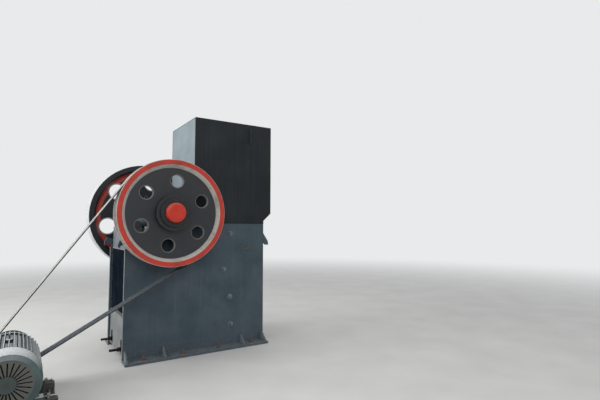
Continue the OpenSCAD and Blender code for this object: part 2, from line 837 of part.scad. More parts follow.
module drive_sheave() {
    web_z = 130;
    rim_t = 83;
    cone = 52;
    hole_pitch_r = 550;
    hole_r = 107;
    first_hole = 23;
    color(iron) translate([shaft_x, -sheave_in, shaft_z]) rotate([90, 0, 0]) difference() {
        rotate_extrude($fn = 144) difference() {
            wheel_outline(sheave_r, sheave_w, rim_t, cone, web_z,
                          hub_in - sheave_in, hub_out - sheave_in, wheel_seat_d / 2 + fit);
            groove_outline(sheave_r, sheave_w / 2);
        }
        web_hole_cuts(hole_pitch_r, hole_r, web_z, first_hole);
    }
}

module flywheel() {
    web_z = 110;
    rim_t = 100;
    cone = 70;
    hole_pitch_r = 715;
    hole_r = 150;
    first_hole = 43;
    color(iron) translate([shaft_x, flywheel_in, shaft_z]) rotate([-90, 0, 0]) difference() {
        rotate_extrude($fn = 144)
            wheel_outline(flywheel_r, flywheel_w, rim_t, cone, web_z,
                          hub_in - flywheel_in, hub_out - flywheel_in, wheel_seat_d / 2 + fit);
        web_hole_cuts(hole_pitch_r, hole_r, web_z, first_hole);
    }
}

module hub_cap() {
    bevel = 30;
    corner = 12;
    face_in = 40;
    inner_r = cap_r - cap_wall;
    translate([shaft_x, -hub_out, shaft_z]) rotate([90, 0, 0]) rotate_extrude($fn = 72) polygon([
        [cap_r, 0], [cap_r, cap_l - bevel], [cap_r - corner, cap_l - corner], [cap_r - face_in, cap_l],
        [0, cap_l],
        [0, cap_l - cap_wall], [inner_r, cap_l - cap_wall], [inner_r, 0]]);
}

module hub_caps() {
    color(cap_red) {
        hub_cap();
        far_side() hub_cap();
    }
}

module eccentric_shaft() {
    color(steel) {
        bar_y(shaft_x, shaft_z, journal_d / 2, -hub_in, hub_in);
        bar_y(shaft_x, shaft_z, wheel_seat_d / 2, -shaft_end, shaft_end);
        bar_y(shaft_x + throw, shaft_z, eccentric_d / 2, -jaw_w / 2, jaw_w / 2);
    }
}

module motor_pulley() {
    bore_r = motor_shaft_d / 2 + fit;
    hub_r = 110;
    hub_z = [60, 220];
    web = [100, 150];
    rim_r = pulley_r - 50;
    web_r = rim_r - 10;
    color(iron) translate([motor_x, -sheave_in, motor_z]) rotate([90, 0, 0])
        rotate_extrude($fn = 96) difference() {
            polygon([
                [bore_r, hub_z[0]], [hub_r, hub_z[0]], [hub_r, web[0]], [web_r, web[0]], [rim_r, 0],
                [pulley_r, 0], [pulley_r, sheave_w], [rim_r, sheave_w], [web_r, web[1]],
                [hub_r, web[1]], [hub_r, hub_z[1]], [bore_r, hub_z[1]]]);
            groove_outline(pulley_r, sheave_w / 2);
        }
}

module motor_shaft() {
    y0 = motor_back_y - 150;
    y1 = -sheave_in - 40;
    color(steel) bar_y(motor_x, motor_z, motor_shaft_d / 2, y0, y1);
}

module motor_fan() {
    y1 = motor_back_y - 30;
    hub_r = 110;
    hub_l = 90;
    blades = 9;
    blade_t = 8;
    blade_l = 170;
    blade_w = 70;
    blade_lap = 10;        // how deep a blade's foot stands in the hub
    color(iron) {
        difference() {
            bar_y(motor_x, motor_z, hub_r, y1 - hub_l, y1);
            bar_y(motor_x, motor_z, motor_shaft_d / 2 + fit, y1 - hub_l - 1, y1 + 1);
        }
        for (i = [0 : blades - 1])
            translate([motor_x, y1, motor_z]) rotate([90, i * 360 / blades, 0])
                translate([hub_r - blade_lap, -blade_t / 2, blade_lap]) cube([blade_l, blade_t, blade_w]);
    }
}

module motor_housing() {
    y1 = -motor_y0 - shield_l;
    low_skip = 5;          // fins left out on each side of the lowest point
    box_skip = 3;          // and behind the terminal box
    fin_lap = 5;
    foot_t = 45;
    foot_half = 70;
    foot_x = motor_foot_x / 2 + 65;
    leg_half = 45;
    leg_out = motor_foot_x / 2 - 90;
    leg_top = motor_centre_h / 2 + foot_t;
    leg_in = 10;
    bolt_d = 28;
    color(motor_green) difference() {
        union() {
            along_y(motor_back_y, y1) translate([motor_x, motor_z]) {
                circle(r = motor_core_r, $fn = 96);
                for (i = [0 : fins - 1])
                    if (abs(i - fins * 3 / 4) > low_skip && abs(i - fins / 2) > box_skip)
                        rotate(i * 360 / fins) translate([motor_core_r - fin_lap, -fin_t / 2])
                            square([motor_r - motor_core_r + fin_lap, fin_t]);
            }
            for (s = [-1, 1])
                translate([motor_x, -motor_mid + s * motor_foot_y / 2, rail_h]) {
                    block([-foot_x, -foot_half, 0], [foot_x, foot_half, foot_t]);
                    for (t = [-1, 1])
                        block([t * leg_out - leg_half, -foot_half + leg_in, foot_t],
                              [t * leg_out + leg_half, foot_half - leg_in, leg_top]);
                }
        }
        bar_y(motor_x, motor_z, motor_shaft_d / 2 + run_gap, motor_back_y - 1, y1 + 1);
        for (s = [-1, 1], t = [-1, 1])
            translate([motor_x + t * motor_foot_x / 2, -motor_mid + s * motor_foot_y / 2, rail_h - 1])
                cylinder(h = foot_t + 2, d = bolt_d, $fn = 36);
    }
}

module motor_end_shield() {
    bore_r = motor_shaft_d / 2 + fit / 2;
    shield_r = motor_r - 20;
    face_r = shield_r - 40;
    boss_r = shield_r - 140;
    steps = [30, 60, 80];  // how far out the rim, the face and the foot of the boss lie
    color(motor_green) translate([motor_x, -motor_y0 - shield_l, motor_z]) rotate([-90, 0, 0])
        rotate_extrude($fn = 96) polygon([
            [bore_r, 0], [shield_r, 0], [shield_r, steps[0]], [face_r, steps[1]], [boss_r, steps[2]],
            [boss_r, shield_l], [bore_r, shield_l]]);
}

module motor_fan_cowl() {
    slots = 24;
    slot_w = 14;
    slot_l = 150;
    slot_r = 90;
    r = motor_r - 6;
    flat_r = r - 75;       // radius of the flat end
    round_l = 70;
    bend = [20, 25];       // where the round corner is bent, in from the side and from the end
    color(motor_green) translate([motor_x, motor_back_y, motor_z]) rotate([90, 0, 0]) difference() {
        rotate_extrude($fn = 96) polygon([
            [r, 0], [r, cowl_l - round_l], [r - bend[0], cowl_l - bend[1]], [flat_r, cowl_l], [0, cowl_l],
            [0, cowl_l - cowl_t], [flat_r - 1, cowl_l - cowl_t], [r - bend[0] - 3, cowl_l - bend[1] - 3],
            [r - cowl_t, cowl_l - round_l], [r - cowl_t, 0]]);
        for (i = [0 : slots - 1])
            rotate([0, 0, i * 360 / slots]) translate([slot_r, -slot_w / 2, cowl_l - cowl_t - 1])
                cube([slot_l, slot_w, cowl_t + 2]);
    }
}

module motor_terminal_box() {
    x1 = motor_x - motor_core_r;
    box_out = 170;
    box_half = 160;
    box_z = [-110, 130];
    box_lap = 60;          // how deep the box's saddle reaches round the housing
    lid_t = 20;
    lid_over = 10;
    color(motor_green) difference() {
        translate([x1, -motor_mid, motor_z]) {
            block([-box_out, -box_half, box_z[0]], [box_lap, box_half, box_z[1]]);
            block([-box_out - lid_t, -box_half - lid_over, box_z[0] - lid_over],
                  [-box_out, box_half + lid_over, box_z[1] + lid_over]);
        }
        bar_y(motor_x, motor_z, motor_core_r + fit, -motor_mid - box_half - 1, -motor_mid + box_half + 1);
    }
}

module slide_rail(y) {
    slot_w = 30;
    slot_end = 80;
    bolt_d = 24;
    bolt_end = 60;
    bolt_in = 20;
    color(iron) translate([motor_x, y, 0]) difference() {
        union() {
            block([-rail_l / 2, -rail_flange_w / 2, 0], [rail_l / 2, rail_flange_w / 2, rail_flange_t]);
            block([-rail_l / 2, -rail_w / 2, rail_flange_t], [rail_l / 2, rail_w / 2, rail_h]);
        }
        block([slot_end - rail_l / 2, -slot_w / 2, rail_h - slot_w],
              [rail_l / 2 - slot_end, slot_w / 2, rail_h + 1]);
        for (s = [-1, 1], t = [-1, 1])
            translate([s * (rail_l / 2 - bolt_end), t * (rail_flange_w / 2 - bolt_in), -1])
                cylinder(h = rail_flange_t + 2, d = bolt_d, $fn = 36);
    }
}

module slide_rail_near() {
    slide_rail(-motor_mid - motor_foot_y / 2);
}

module slide_rail_far() {
    slide_rail(-motor_mid + motor_foot_y / 2);
}

side_plate_near();
side_plate_far();
front_wall();
toggle_beam();
rear_guard();
rear_hood();
foot_near();
foot_far();
front_lugs();
rear_lugs();
bearing_seat_near();
bearing_seat_far();
bearing_housing_near();
bearing_housing_far();
main_bearing_near();
main_bearing_far();
bearing_cover_near();
bearing_cover_far();
fixed_jaw_plate();
fixed_jaw_clamp();
swing_jaw();
swing_jaw_plate();
swing_jaw_clamp();
cheek_plates();
toggle_plate();
toggle_seats();
adjusting_wedges();
tension_rods();
tension_springs();
chute_near();
chute_far();
chute_front();
chute_rear();
chute_mouth_flange();
chute_top_flange();
v_belts();
motor_housing();
motor_end_shield();
motor_fan_cowl();
motor_terminal_box();
slide_rail_near();
slide_rail_far();
eccentric_shaft();
drive_sheave();
flywheel();
hub_caps();
motor_shaft();
motor_pulley();
motor_fan();
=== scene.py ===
# Looks of the jaw crusher: finishes, fasteners, weld beads, springs and other small parts on the CAD frame.
import json
import math
import random
from functools import partial
import bpy
import bmesh
from mathutils import Matrix, Vector


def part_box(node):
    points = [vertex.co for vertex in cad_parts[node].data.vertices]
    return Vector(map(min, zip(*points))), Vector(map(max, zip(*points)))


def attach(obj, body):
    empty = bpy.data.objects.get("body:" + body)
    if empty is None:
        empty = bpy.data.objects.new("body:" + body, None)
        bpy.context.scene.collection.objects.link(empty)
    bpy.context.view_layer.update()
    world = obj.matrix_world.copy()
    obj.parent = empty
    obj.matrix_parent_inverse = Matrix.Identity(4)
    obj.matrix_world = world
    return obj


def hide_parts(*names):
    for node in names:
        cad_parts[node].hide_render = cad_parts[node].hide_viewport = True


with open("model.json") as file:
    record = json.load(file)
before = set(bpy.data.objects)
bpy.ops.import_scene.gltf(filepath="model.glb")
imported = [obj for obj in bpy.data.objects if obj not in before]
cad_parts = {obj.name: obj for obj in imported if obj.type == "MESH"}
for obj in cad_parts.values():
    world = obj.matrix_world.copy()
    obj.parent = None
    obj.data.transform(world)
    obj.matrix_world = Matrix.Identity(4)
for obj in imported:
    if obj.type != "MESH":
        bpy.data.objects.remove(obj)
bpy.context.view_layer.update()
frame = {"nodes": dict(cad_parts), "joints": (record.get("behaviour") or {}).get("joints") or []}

scene = bpy.context.scene
shaftPos = Vector(frame["joints"][0]["pos_m"])
motorPos = Vector(frame["joints"][1]["pos_m"])
print("frame loaded:", len(frame["nodes"]), "nodes")

# Camera, at the photo's place: 2.2 m up, turned 33.6 degrees from the shaft towards the feed end
cameraSpec = {
    "position": (-2.772, -8.181, 2.2),
    "headingDegrees": 33.6,
    "pitchDegrees": 3.95,
    "lensMm": 25.2,
    "sensorMm": 36.0,
}
cameraData = bpy.data.cameras.new("photoCamera")
cameraData.lens = cameraSpec["lensMm"]
cameraData.sensor_width = cameraSpec["sensorMm"]
cameraData.sensor_fit = "HORIZONTAL"
camera = bpy.data.objects.new("photoCamera", cameraData)
camera.location = cameraSpec["position"]
camera.rotation_euler = (
    math.radians(90 + cameraSpec["pitchDegrees"]), 0, -math.radians(cameraSpec["headingDegrees"]))
scene.collection.objects.link(camera)
scene.camera = camera
scene.view_settings.view_transform = "Standard"


def linear(hexColour):
    channels = [int(hexColour[i:i + 2], 16) / 255 for i in (1, 3, 5)]
    return [c / 12.92 if c <= 0.04045 else ((c + 0.055) / 1.055) ** 2.4 for c in channels] + [1.0]


def perMetre(millimetres):
    return 1000.0 / millimetres


def addNode(tree, kind, inputs=None, stops=(), **settings):
    # Adds one shader node. Its inputs are values, sRGB hex colours, sockets, or nodes that give their first
    # output. Stops are the points of a colour ramp. Of a MapRange, inputs 1 and 2 are the range read, 3 and 4
    # the range given
    node = tree.nodes.new("ShaderNode" + kind)
    for key, value in settings.items():
        setattr(node, key, value)
    for key, value in (inputs or {}).items():
        if isinstance(value, bpy.types.Node):
            value = value.outputs[0]
        if isinstance(value, bpy.types.NodeSocket):
            tree.links.new(value, node.inputs[key])
        else:
            node.inputs[key].default_value = linear(value) if isinstance(value, str) else value
    if stops:
        points = node.color_ramp.elements
        while len(points) < len(stops):
            points.new(0.5)
        for point, (position, hexColour) in zip(points, stops):
            point.position = position
            point.color = linear(hexColour)
    return node


def startMaterial(name, **surface):
    # Gives the new material, and addNode bound to its tree
    material = bpy.data.materials.new(name)
    material.use_nodes = True
    for key, value in surface.items():
        material.node_tree.nodes["Principled BSDF"].inputs[key].default_value = value
    return material, partial(addNode, material.node_tree)


def joinLayers(material, **layers):
    # Links the finished layers of a material to its shader
    tree = material.node_tree
    for key, node in layers.items():
        tree.links.new(node.outputs[0], tree.nodes["Principled BSDF"].inputs[key])


def sprayedEnamel(name, spec):
    # Alkyd enamel sprayed on plate: faint orange peel, faded patches, rain streaks, stone dust on ledges,
    # and chips down to primer along the edges
    material, add = startMaterial(name, **{"Specular IOR Level": spec["gloss"]})
    coords = add("TexCoord").outputs["Object"]
    geometry = add("NewGeometry")
    patches = add("TexNoise", {
        "Vector": coords, "Scale": perMetre(spec["patchMm"]), "Detail": 6, "Roughness": 0.6})
    patchMask = add("MapRange", {"Value": patches, 1: 0.38, 2: 0.68})
    colour = add("MixRGB", {"Fac": patchMask, "Color1": spec["base"], "Color2": spec["faded"]})
    # Streaks: noise squeezed sideways so that it runs down the plate
    squeezed = add("Mapping", {
        "Vector": coords, "Scale": (perMetre(45), perMetre(45), perMetre(1400))})
    streaks = add("TexNoise", {"Vector": squeezed, "Scale": 1.0, "Detail": 4, "Roughness": 0.65})
    streakMask = add("MapRange", {"Value": streaks, 1: 0.52, 2: 0.78, 4: spec["streaks"]})
    colour = add("MixRGB", {"Fac": streakMask, "Color1": colour, "Color2": spec["dust"]})
    # Dust: on what faces up, low down, and thinly in the faded patches. On the motor, whose near-white dust
    # is laid evenly, what faces up is partly dust and partly a painted highlight of the light on its top
    facing = add("SeparateXYZ", {"Vector": geometry.outputs["Normal"]})
    up = add("MapRange", {"Value": facing.outputs["Z"], 1: 0.25, 2: 0.9, 4: 0.85})
    place = add("SeparateXYZ", {"Vector": geometry.outputs["Position"]})
    low = add("MapRange", {"Value": place.outputs["Z"], 1: spec["splashHeight"], 2: 0.0, 4: 0.45})
    grains = add("TexNoise", {"Vector": coords, "Scale": perMetre(28), "Detail": 8, "Roughness": 0.7})
    grainMask = add("MapRange", {"Value": grains, 1: spec["evenDust"], 2: 0.65})
    ledges = add("Math", {0: up, 1: low}, operation="MAXIMUM")
    settledDustAndTopLight = add("Math", {0: ledges, 1: grainMask}, operation="MULTIPLY")
    thin = add("Math", {0: patchMask, 1: spec["cover"]}, operation="MULTIPLY")
    # The edges that face the rear, toward the motor and the large rear lamp, are lightened toward the dust
    # colour where a spec asks for it: painted highlight, not dust
    behind = add("MapRange", {"Value": facing.outputs["X"], 1: -0.85, 2: -0.97, 4: spec["rearHighlight"]})
    thinDustAndHighlight = add("Math", {0: thin, 1: behind}, operation="MAXIMUM")
    dustAndHighlightMask = add("Math", {0: settledDustAndTopLight, 1: thinDustAndHighlight}, operation="MAXIMUM", use_clamp=True)
    colour = add("MixRGB", {"Fac": dustAndHighlightMask, "Color1": colour, "Color2": spec["dust"]})
    # Chips: where the rounded normal leaves the flat one, broken up by noise. It also rounds the shading
    rounded = add("Bevel", {"Radius": spec["chipMm"] / 1000}, samples=4)
    straight = add("VectorMath", {0: rounded, 1: geometry.outputs["Normal"]}, operation="DOT_PRODUCT")
    edge = add("MapRange", {"Value": straight.outputs["Value"], 1: 0.995, 2: 0.9})
    flakes = add("TexNoise", {"Vector": coords, "Scale": perMetre(60), "Detail": 5, "Roughness": 0.7})
    flakeMask = add("MapRange", {"Value": flakes, 1: 0.5, 2: 0.58})
    chips = add("Math", {0: edge, 1: flakeMask}, operation="MULTIPLY")
    colour = add("MixRGB", {"Fac": chips, "Color1": colour, "Color2": spec["chip"]})
    if "film" in spec:
        # A film of old oil and fan dust in rings round the motor's axis, on what faces the near side
        film = spec["film"]
        away = add("VectorMath", {0: coords, 1: (motorPos.x, 0, motorPos.z)}, operation="SUBTRACT")
        across = add("VectorMath", {0: away, 1: (1, 0, 1)}, operation="MULTIPLY")
        reach = add("VectorMath", {0: across}, operation="LENGTH").outputs["Value"]
        filmColour = add("ValToRGB", {"Fac": reach}, stops=film["rings"])
        within = add("MapRange", {
            "Value": reach, 1: film["end"], 2: film["end"] - film["fade"], 4: film["cover"]})
        facingOut = add("MapRange", {"Value": facing.outputs["Y"], 1: -0.7, 2: -0.9})
        filmMask = add("Math", {0: within, 1: facingOut}, operation="MULTIPLY")
        colour = add("MixRGB", {"Fac": filmMask, "Color1": colour, "Color2": filmColour})
    rough = add("MapRange", {"Value": dustAndHighlightMask, 3: spec["roughness"], 4: 0.9})
    # Orange peel is about 3 mm in life, drawn at 9 mm so that it shows
    peel = add("TexNoise", {"Vector": coords, "Scale": perMetre(9), "Detail": 3})
    waves = add("TexNoise", {"Vector": coords, "Scale": perMetre(380), "Detail": 2})
    fine = add("Bump", {"Height": peel, "Strength": 0.12, "Distance": 0.002, "Normal": rounded})
    bump = add("Bump", {"Height": waves, "Strength": 0.15, "Distance": 0.02, "Normal": fine})
    joinLayers(material, **{"Base Color": colour, "Roughness": rough, "Normal": bump})
    return material


# What the enamels share, and below it what each one has of its own
plainEnamel = {"rearHighlight": 0.0, "streaks": 0.1, "splashHeight": 0.1, "evenDust": 0.35, "cover": 0.1,
               "chipMm": 4, "roughness": 0.5, "gloss": 0.3}
frameEnamel = {"base": "#384751", "faded": "#42515B", "dust": "#83888A", "chip": "#5E5147", "patchMm": 650,
               "splashHeight": 0.35, "chipMm": 6}
# The motor's near-white dust, laid evenly on what faces up, is partly dust and partly a painted highlight of
# the light from above
motorEnamel = {"base": "#3B4C4D", "faded": "#485959", "dust": "#DADCDC", "chip": "#6A6258", "patchMm": 260,
               "streaks": 0.03, "evenDust": -0.3, "cover": 0.03, "roughness": 0.45, "gloss": 0.35}
cowlFilm = {"end": 0.262, "fade": 0.012, "cover": 0.8,
            "rings": [(0.0, "#3C3430"), (0.035, "#3A3A36"), (0.045, "#37403F"), (0.095, "#3A4241"),
                      (0.105, "#57524C"), (0.26, "#5C5853")]}
enamelSpecs = {
    "frame": {**frameEnamel, "rearHighlight": 0.45},
    "sidePlate": {**frameEnamel, "rearHighlight": 0.85},
    "pad": {"base": "#3C464C", "faded": "#485257", "dust": "#83888A", "chip": "#8A8C8C", "patchMm": 90,
            "splashHeight": 0.35, "roughness": 0.55},
    # Chute: its dark paint is partly painted shade. The rear face wears a pale grey-blue copy of it: painted
    # light on the face that looks to the rear
    "chute": {"base": "#1D2225", "faded": "#23292C", "dust": "#555A5A", "chip": "#4C453E", "patchMm": 800,
              "rearHighlight": 0.5, "cover": 0.06, "chipMm": 5, "roughness": 0.55, "gloss": 0.2},
    "chuteRearLit": {"base": "#7C8A92", "faded": "#8C999F", "dust": "#A3A5A2", "chip": "#6E665C", "patchMm": 500,
                  "streaks": 0.2, "cover": 0.12, "chipMm": 5},
    # Rear guard: near black, its dark paint with the shade of its recess painted in
    "rearGuard": {"base": "#111820", "faded": "#18202A", "dust": "#4E5255", "chip": "#3E3A36", "patchMm": 500,
                  "streaks": 0.08, "splashHeight": 0.3, "cover": 0.05, "chipMm": 5, "roughness": 0.9,
                  "gloss": 0.0},
    # Toggle beam: pale grey, partly from dust and partly painted light from the rear
    "dustyAndLit": {"base": "#6E7275", "faded": "#7E8283", "dust": "#93938F", "chip": "#4A4744", "patchMm": 300,
              "streaks": 0.3, "splashHeight": 0.7, "cover": 0.4, "chipMm": 6, "roughness": 0.65},
    # Hood: paler than the frame, partly from dust and partly painted light from the rear
    "hood": {"base": "#5F676E", "faded": "#747C82", "dust": "#8C8F8E", "chip": "#3E3C3A", "patchMm": 160,
             "streaks": 0.25, "splashHeight": 0.7, "cover": 0.3, "chipMm": 6, "roughness": 0.6},
    "motor": motorEnamel,
    "motorCowl": {**motorEnamel, "film": cowlFilm},
    "capRed": {"base": "#C42C1A", "faded": "#CC3A26", "dust": "#9A6E62", "chip": "#4A201A", "patchMm": 120,
               "streaks": 0.0, "cover": 0.06, "roughness": 0.4, "gloss": 0.35},
    "castGrey": {"base": "#2B2E31", "faded": "#36393B", "dust": "#77776F", "chip": "#5B4A3D", "patchMm": 180,
                 "splashHeight": 0.5, "cover": 0.2, "roughness": 0.6},
    "springBlack": {"base": "#161617", "faded": "#1F1F20", "dust": "#56544F", "chip": "#4A382C",
                    "patchMm": 90, "streaks": 0.0, "cover": 0.15, "chipMm": 2, "roughness": 0.45},
}
materials = {key: sprayedEnamel(key + "Enamel", {**plainEnamel, **spec}) for key, spec in enamelSpecs.items()}
print("enamels made")


def wheelCasting(name, spec):
    # Cast wheel, turned at the rim and painted in rings. The distance to the shaft gives the ring's colour
    material, add = startMaterial(name, **{"Specular IOR Level": 0.3})
    coords = add("TexCoord").outputs["Object"]
    geometry = add("NewGeometry")
    away = add("VectorMath", {0: coords, 1: (shaftPos.x, 0, shaftPos.z)}, operation="SUBTRACT")
    flat = add("VectorMath", {0: away, 1: (1, 0, 1)}, operation="MULTIPLY")
    radius = add("VectorMath", {0: flat}, operation="LENGTH").outputs["Value"]
    share = add("MapRange", {"Value": radius, 2: spec["radius"]})
    rings = add("ValToRGB", {"Fac": share}, stops=spec["rings"])
    facing = add("SeparateXYZ", {"Vector": geometry.outputs["Normal"]})
    sideways = add("Math", {0: facing.outputs["Y"]}, operation="ABSOLUTE")
    # Tread: all near the rim that isn't its flat face. Lands and grooves have a colour each. Their pale
    # colours are painted light: a painted highlight on the drive sheave's lands, a painted reflection on the
    # flywheel's tread
    outward = add("MapRange", {"Value": sideways, 1: 0.985, 2: 0.96})
    nearRim = add("MapRange", {"Value": share, 1: 0.93, 2: 0.94})
    tread = add("Math", {0: outward, 1: nearRim}, operation="MULTIPLY")
    land = add("MapRange", {"Value": share, 1: 0.992, 2: 0.994})
    treadColour = add("MixRGB", {"Fac": land, "Color1": spec["groove"], "Color2": spec["land"]})
    colour = add("MixRGB", {"Fac": tread, "Color1": rings, "Color2": treadColour})
    # Rims of the round holes, pale all round: a painted highlight of light on the hole chamfers. The wheel's
    # equal sectors are folded onto one hole
    holes = spec["holes"]
    sectorAngle = 2 * math.pi / holes["count"]
    parts = add("SeparateXYZ", {"Vector": flat})
    angle = add("Math", {0: parts.outputs["Z"], 1: parts.outputs["X"]}, operation="ARCTAN2")
    turned = add("Math", {0: angle, 1: 2 * math.pi - math.radians(holes["first"]) + sectorAngle / 2})
    sector = add("Math", {0: turned, 1: sectorAngle}, operation="FLOORED_MODULO")
    folded = add("Math", {0: sector, 1: sectorAngle / 2}, operation="SUBTRACT")
    cosine = add("Math", {0: folded}, operation="COSINE")
    sine = add("Math", {0: folded}, operation="SINE")
    along = add("Math", {0: cosine, 1: radius}, operation="MULTIPLY")
    over = add("Math", {0: sine, 1: radius}, operation="MULTIPLY")
    place = add("CombineXYZ", {"X": along, "Y": over})
    fromHole = add("VectorMath", {0: place, 1: (holes["pitchR"], 0, 0)}, operation="DISTANCE")
    halfRim = holes["rim"] / 2
    holeHighlightMask = add("Math", {
        0: fromHole.outputs["Value"], 1: holes["radius"] + halfRim, 2: halfRim + 0.001}, operation="COMPARE")
    colour = add("MixRGB", {"Fac": holeHighlightMask, "Color1": colour, "Color2": holes["colour"]})
    # Grime in patches, and fine specks of it. On the drive sheave the patches are a paler brown that also
    # stands in for the sheen on its web: painted reflection
    sheenAndGrime = add("TexNoise", {"Vector": coords, "Scale": perMetre(240), "Detail": 8, "Roughness": 0.7})
    sheenAndGrimeMask = add("MapRange", {"Value": sheenAndGrime, 1: 0.45, 2: 0.75, 4: spec["sheenAndGrime"]})
    colour = add("MixRGB", {"Fac": sheenAndGrimeMask, "Color1": colour, "Color2": spec["sheenAndGrimeColour"]})
    specks = add("TexNoise", {"Vector": coords, "Scale": perMetre(18), "Detail": 6, "Roughness": 0.8})
    speckMask = add("MapRange", {"Value": specks, 1: 0.6, 2: 0.75, 4: 0.5})
    colour = add("MixRGB", {"Fac": speckMask, "Color1": colour, "Color2": spec["sheenAndGrimeColour"]})
    rough = add("MapRange", {"Value": sheenAndGrimeMask, 2: 0.5, 3: 0.42, 4: 0.75})
    # Sand casting grain is about 2 mm, drawn at 6 mm. Turning marks ring the shaft every 4 mm, drawn at 10 mm
    grain = add("TexNoise", {"Vector": coords, "Scale": perMetre(6), "Detail": 4})
    turning = add("Math", {0: radius, 1: 2 * math.pi * perMetre(10)}, operation="MULTIPLY")
    marks = add("Math", {0: turning}, operation="SINE")
    cast = add("Bump", {"Height": grain, "Strength": 0.25, "Distance": 0.002})
    bump = add("Bump", {"Height": marks, "Strength": 0.04, "Distance": 0.001, "Normal": cast})
    joinLayers(material, **{"Base Color": colour, "Roughness": rough, "Normal": bump})
    return material


wheelSpecs = {
    "drive_sheave": {
        # Drive sheave: its pale land colour is a painted highlight of the light from behind on the tread's
        # edge
        "radius": 0.905, "groove": "#191A1B", "land": "#C4C0B8",
        "holes": {"count": 6, "first": 23, "pitchR": 0.55, "radius": 0.107, "rim": 0.012,
                  "colour": "#77787A"},
        "sheenAndGrime": 0.6, "sheenAndGrimeColour": "#4A423B",
        "rings": [(0.0, "#1C2023"), (0.26, "#1F2326"), (0.34, "#2A2D31"), (0.845, "#303338"),
                  (0.853, "#C6C0B8"), (0.902, "#D2CBC3"), (0.91, "#C23B2E"), (1.0, "#C94033")]},
    "flywheel": {
        # Flywheel: its near-white groove and land colours are a painted reflection of the light from the rear
        # on its tread
        "radius": 1.05, "groove": "#C6CACC", "land": "#CBCFD1",
        "holes": {"count": 6, "first": -43, "pitchR": 0.715, "radius": 0.15, "rim": 0.020,
                  "colour": "#A9ABA8"},
        "sheenAndGrime": 0.35, "sheenAndGrimeColour": "#2E2A28",
        "rings": [(0.0, "#1C2023"), (0.26, "#1F2326"), (0.778, "#26282D"), (0.786, "#B04238"),
                  (0.872, "#B64A3E"), (0.879, "#1D1F22"), (1.0, "#202327")]},
}
for key, spec in wheelSpecs.items():
    materials[key] = wheelCasting(key + "Casting", spec)
print("wheel castings made")


def turnedSteel(name, spec):
    # Steel turned or ground, under a patchy film of old grease, dirt or rust
    material, add = startMaterial(name, Metallic=spec["metallic"])
    coords = add("TexCoord").outputs["Object"]
    film = add("TexNoise", {"Vector": coords, "Scale": perMetre(90), "Detail": 7, "Roughness": 0.7})
    filmMask = add("MapRange", {"Value": film, 1: 0.42, 2: 0.7, 4: spec["film"]})
    colour = add("MixRGB", {"Fac": filmMask, "Color1": spec["base"], "Color2": spec["filmColour"]})
    rough = add("MapRange", {"Value": filmMask, 3: spec["roughness"], 4: 0.7})
    scratches = add("TexNoise", {"Vector": coords, "Scale": perMetre(5), "Detail": 2})
    bump = add("Bump", {"Height": scratches, "Strength": 0.1, "Distance": 0.001})
    joinLayers(material, **{"Base Color": colour, "Roughness": rough, "Normal": bump})
    return material


steelSpecs = {
    "bearingSteel": {"metallic": 1.0, "roughness": 0.3, "base": "#B4B5B6", "film": 0.6,
                     "filmColour": "#5A4E42"},
    "rodSteel": {"metallic": 1.0, "roughness": 0.45, "base": "#3A3836", "film": 0.8, "filmColour": "#1E1A18"},
    "boltSteel": {"metallic": 1.0, "roughness": 0.4, "base": "#8A8A88", "film": 0.6, "filmColour": "#5B4A3C"},
    "rustySteel": {"metallic": 0.0, "roughness": 0.8, "base": "#6E5444", "film": 1.0,
                   "filmColour": "#43312A"},
}
for key, spec in steelSpecs.items():
    materials[key] = turnedSteel(key, spec)

manganeseSpec = {"rust": "#6A5444", "scale": "#4A3A30", "worn": "#A29E98"}


def manganeseCasting(spec):
    # Manganese steel jaws: rough as cast, rubbed bright by stone on what faces along the chamber
    material, add = startMaterial("manganeseCasting", Metallic=1.0)
    coords = add("TexCoord").outputs["Object"]
    geometry = add("NewGeometry")
    scale = add("TexNoise", {"Vector": coords, "Scale": perMetre(70), "Detail": 8, "Roughness": 0.75})
    mask = add("MapRange", {"Value": scale, 1: 0.4, 2: 0.66})
    facing = add("SeparateXYZ", {"Vector": geometry.outputs["Normal"]})
    along = add("Math", {0: facing.outputs["X"]}, operation="ABSOLUTE")
    worn = add("MapRange", {"Value": along, 1: 0.8, 2: 0.95, 4: 0.8})
    rust = add("MixRGB", {"Fac": mask, "Color1": spec["rust"], "Color2": spec["scale"]})
    colour = add("MixRGB", {"Fac": worn, "Color1": rust, "Color2": spec["worn"]})
    rough = add("MapRange", {"Value": worn, 3: 0.75, 4: 0.4})
    bump = add("Bump", {"Height": scale, "Strength": 0.4, "Distance": 0.004})
    joinLayers(material, **{"Base Color": colour, "Roughness": rough, "Normal": bump})
    return material


beltSpec = {"base": "#1E2022", "scuffed": "#44484B", "lowerDust": "#6F777D", "upperDustAndHighlight": "#C6C5C0"}


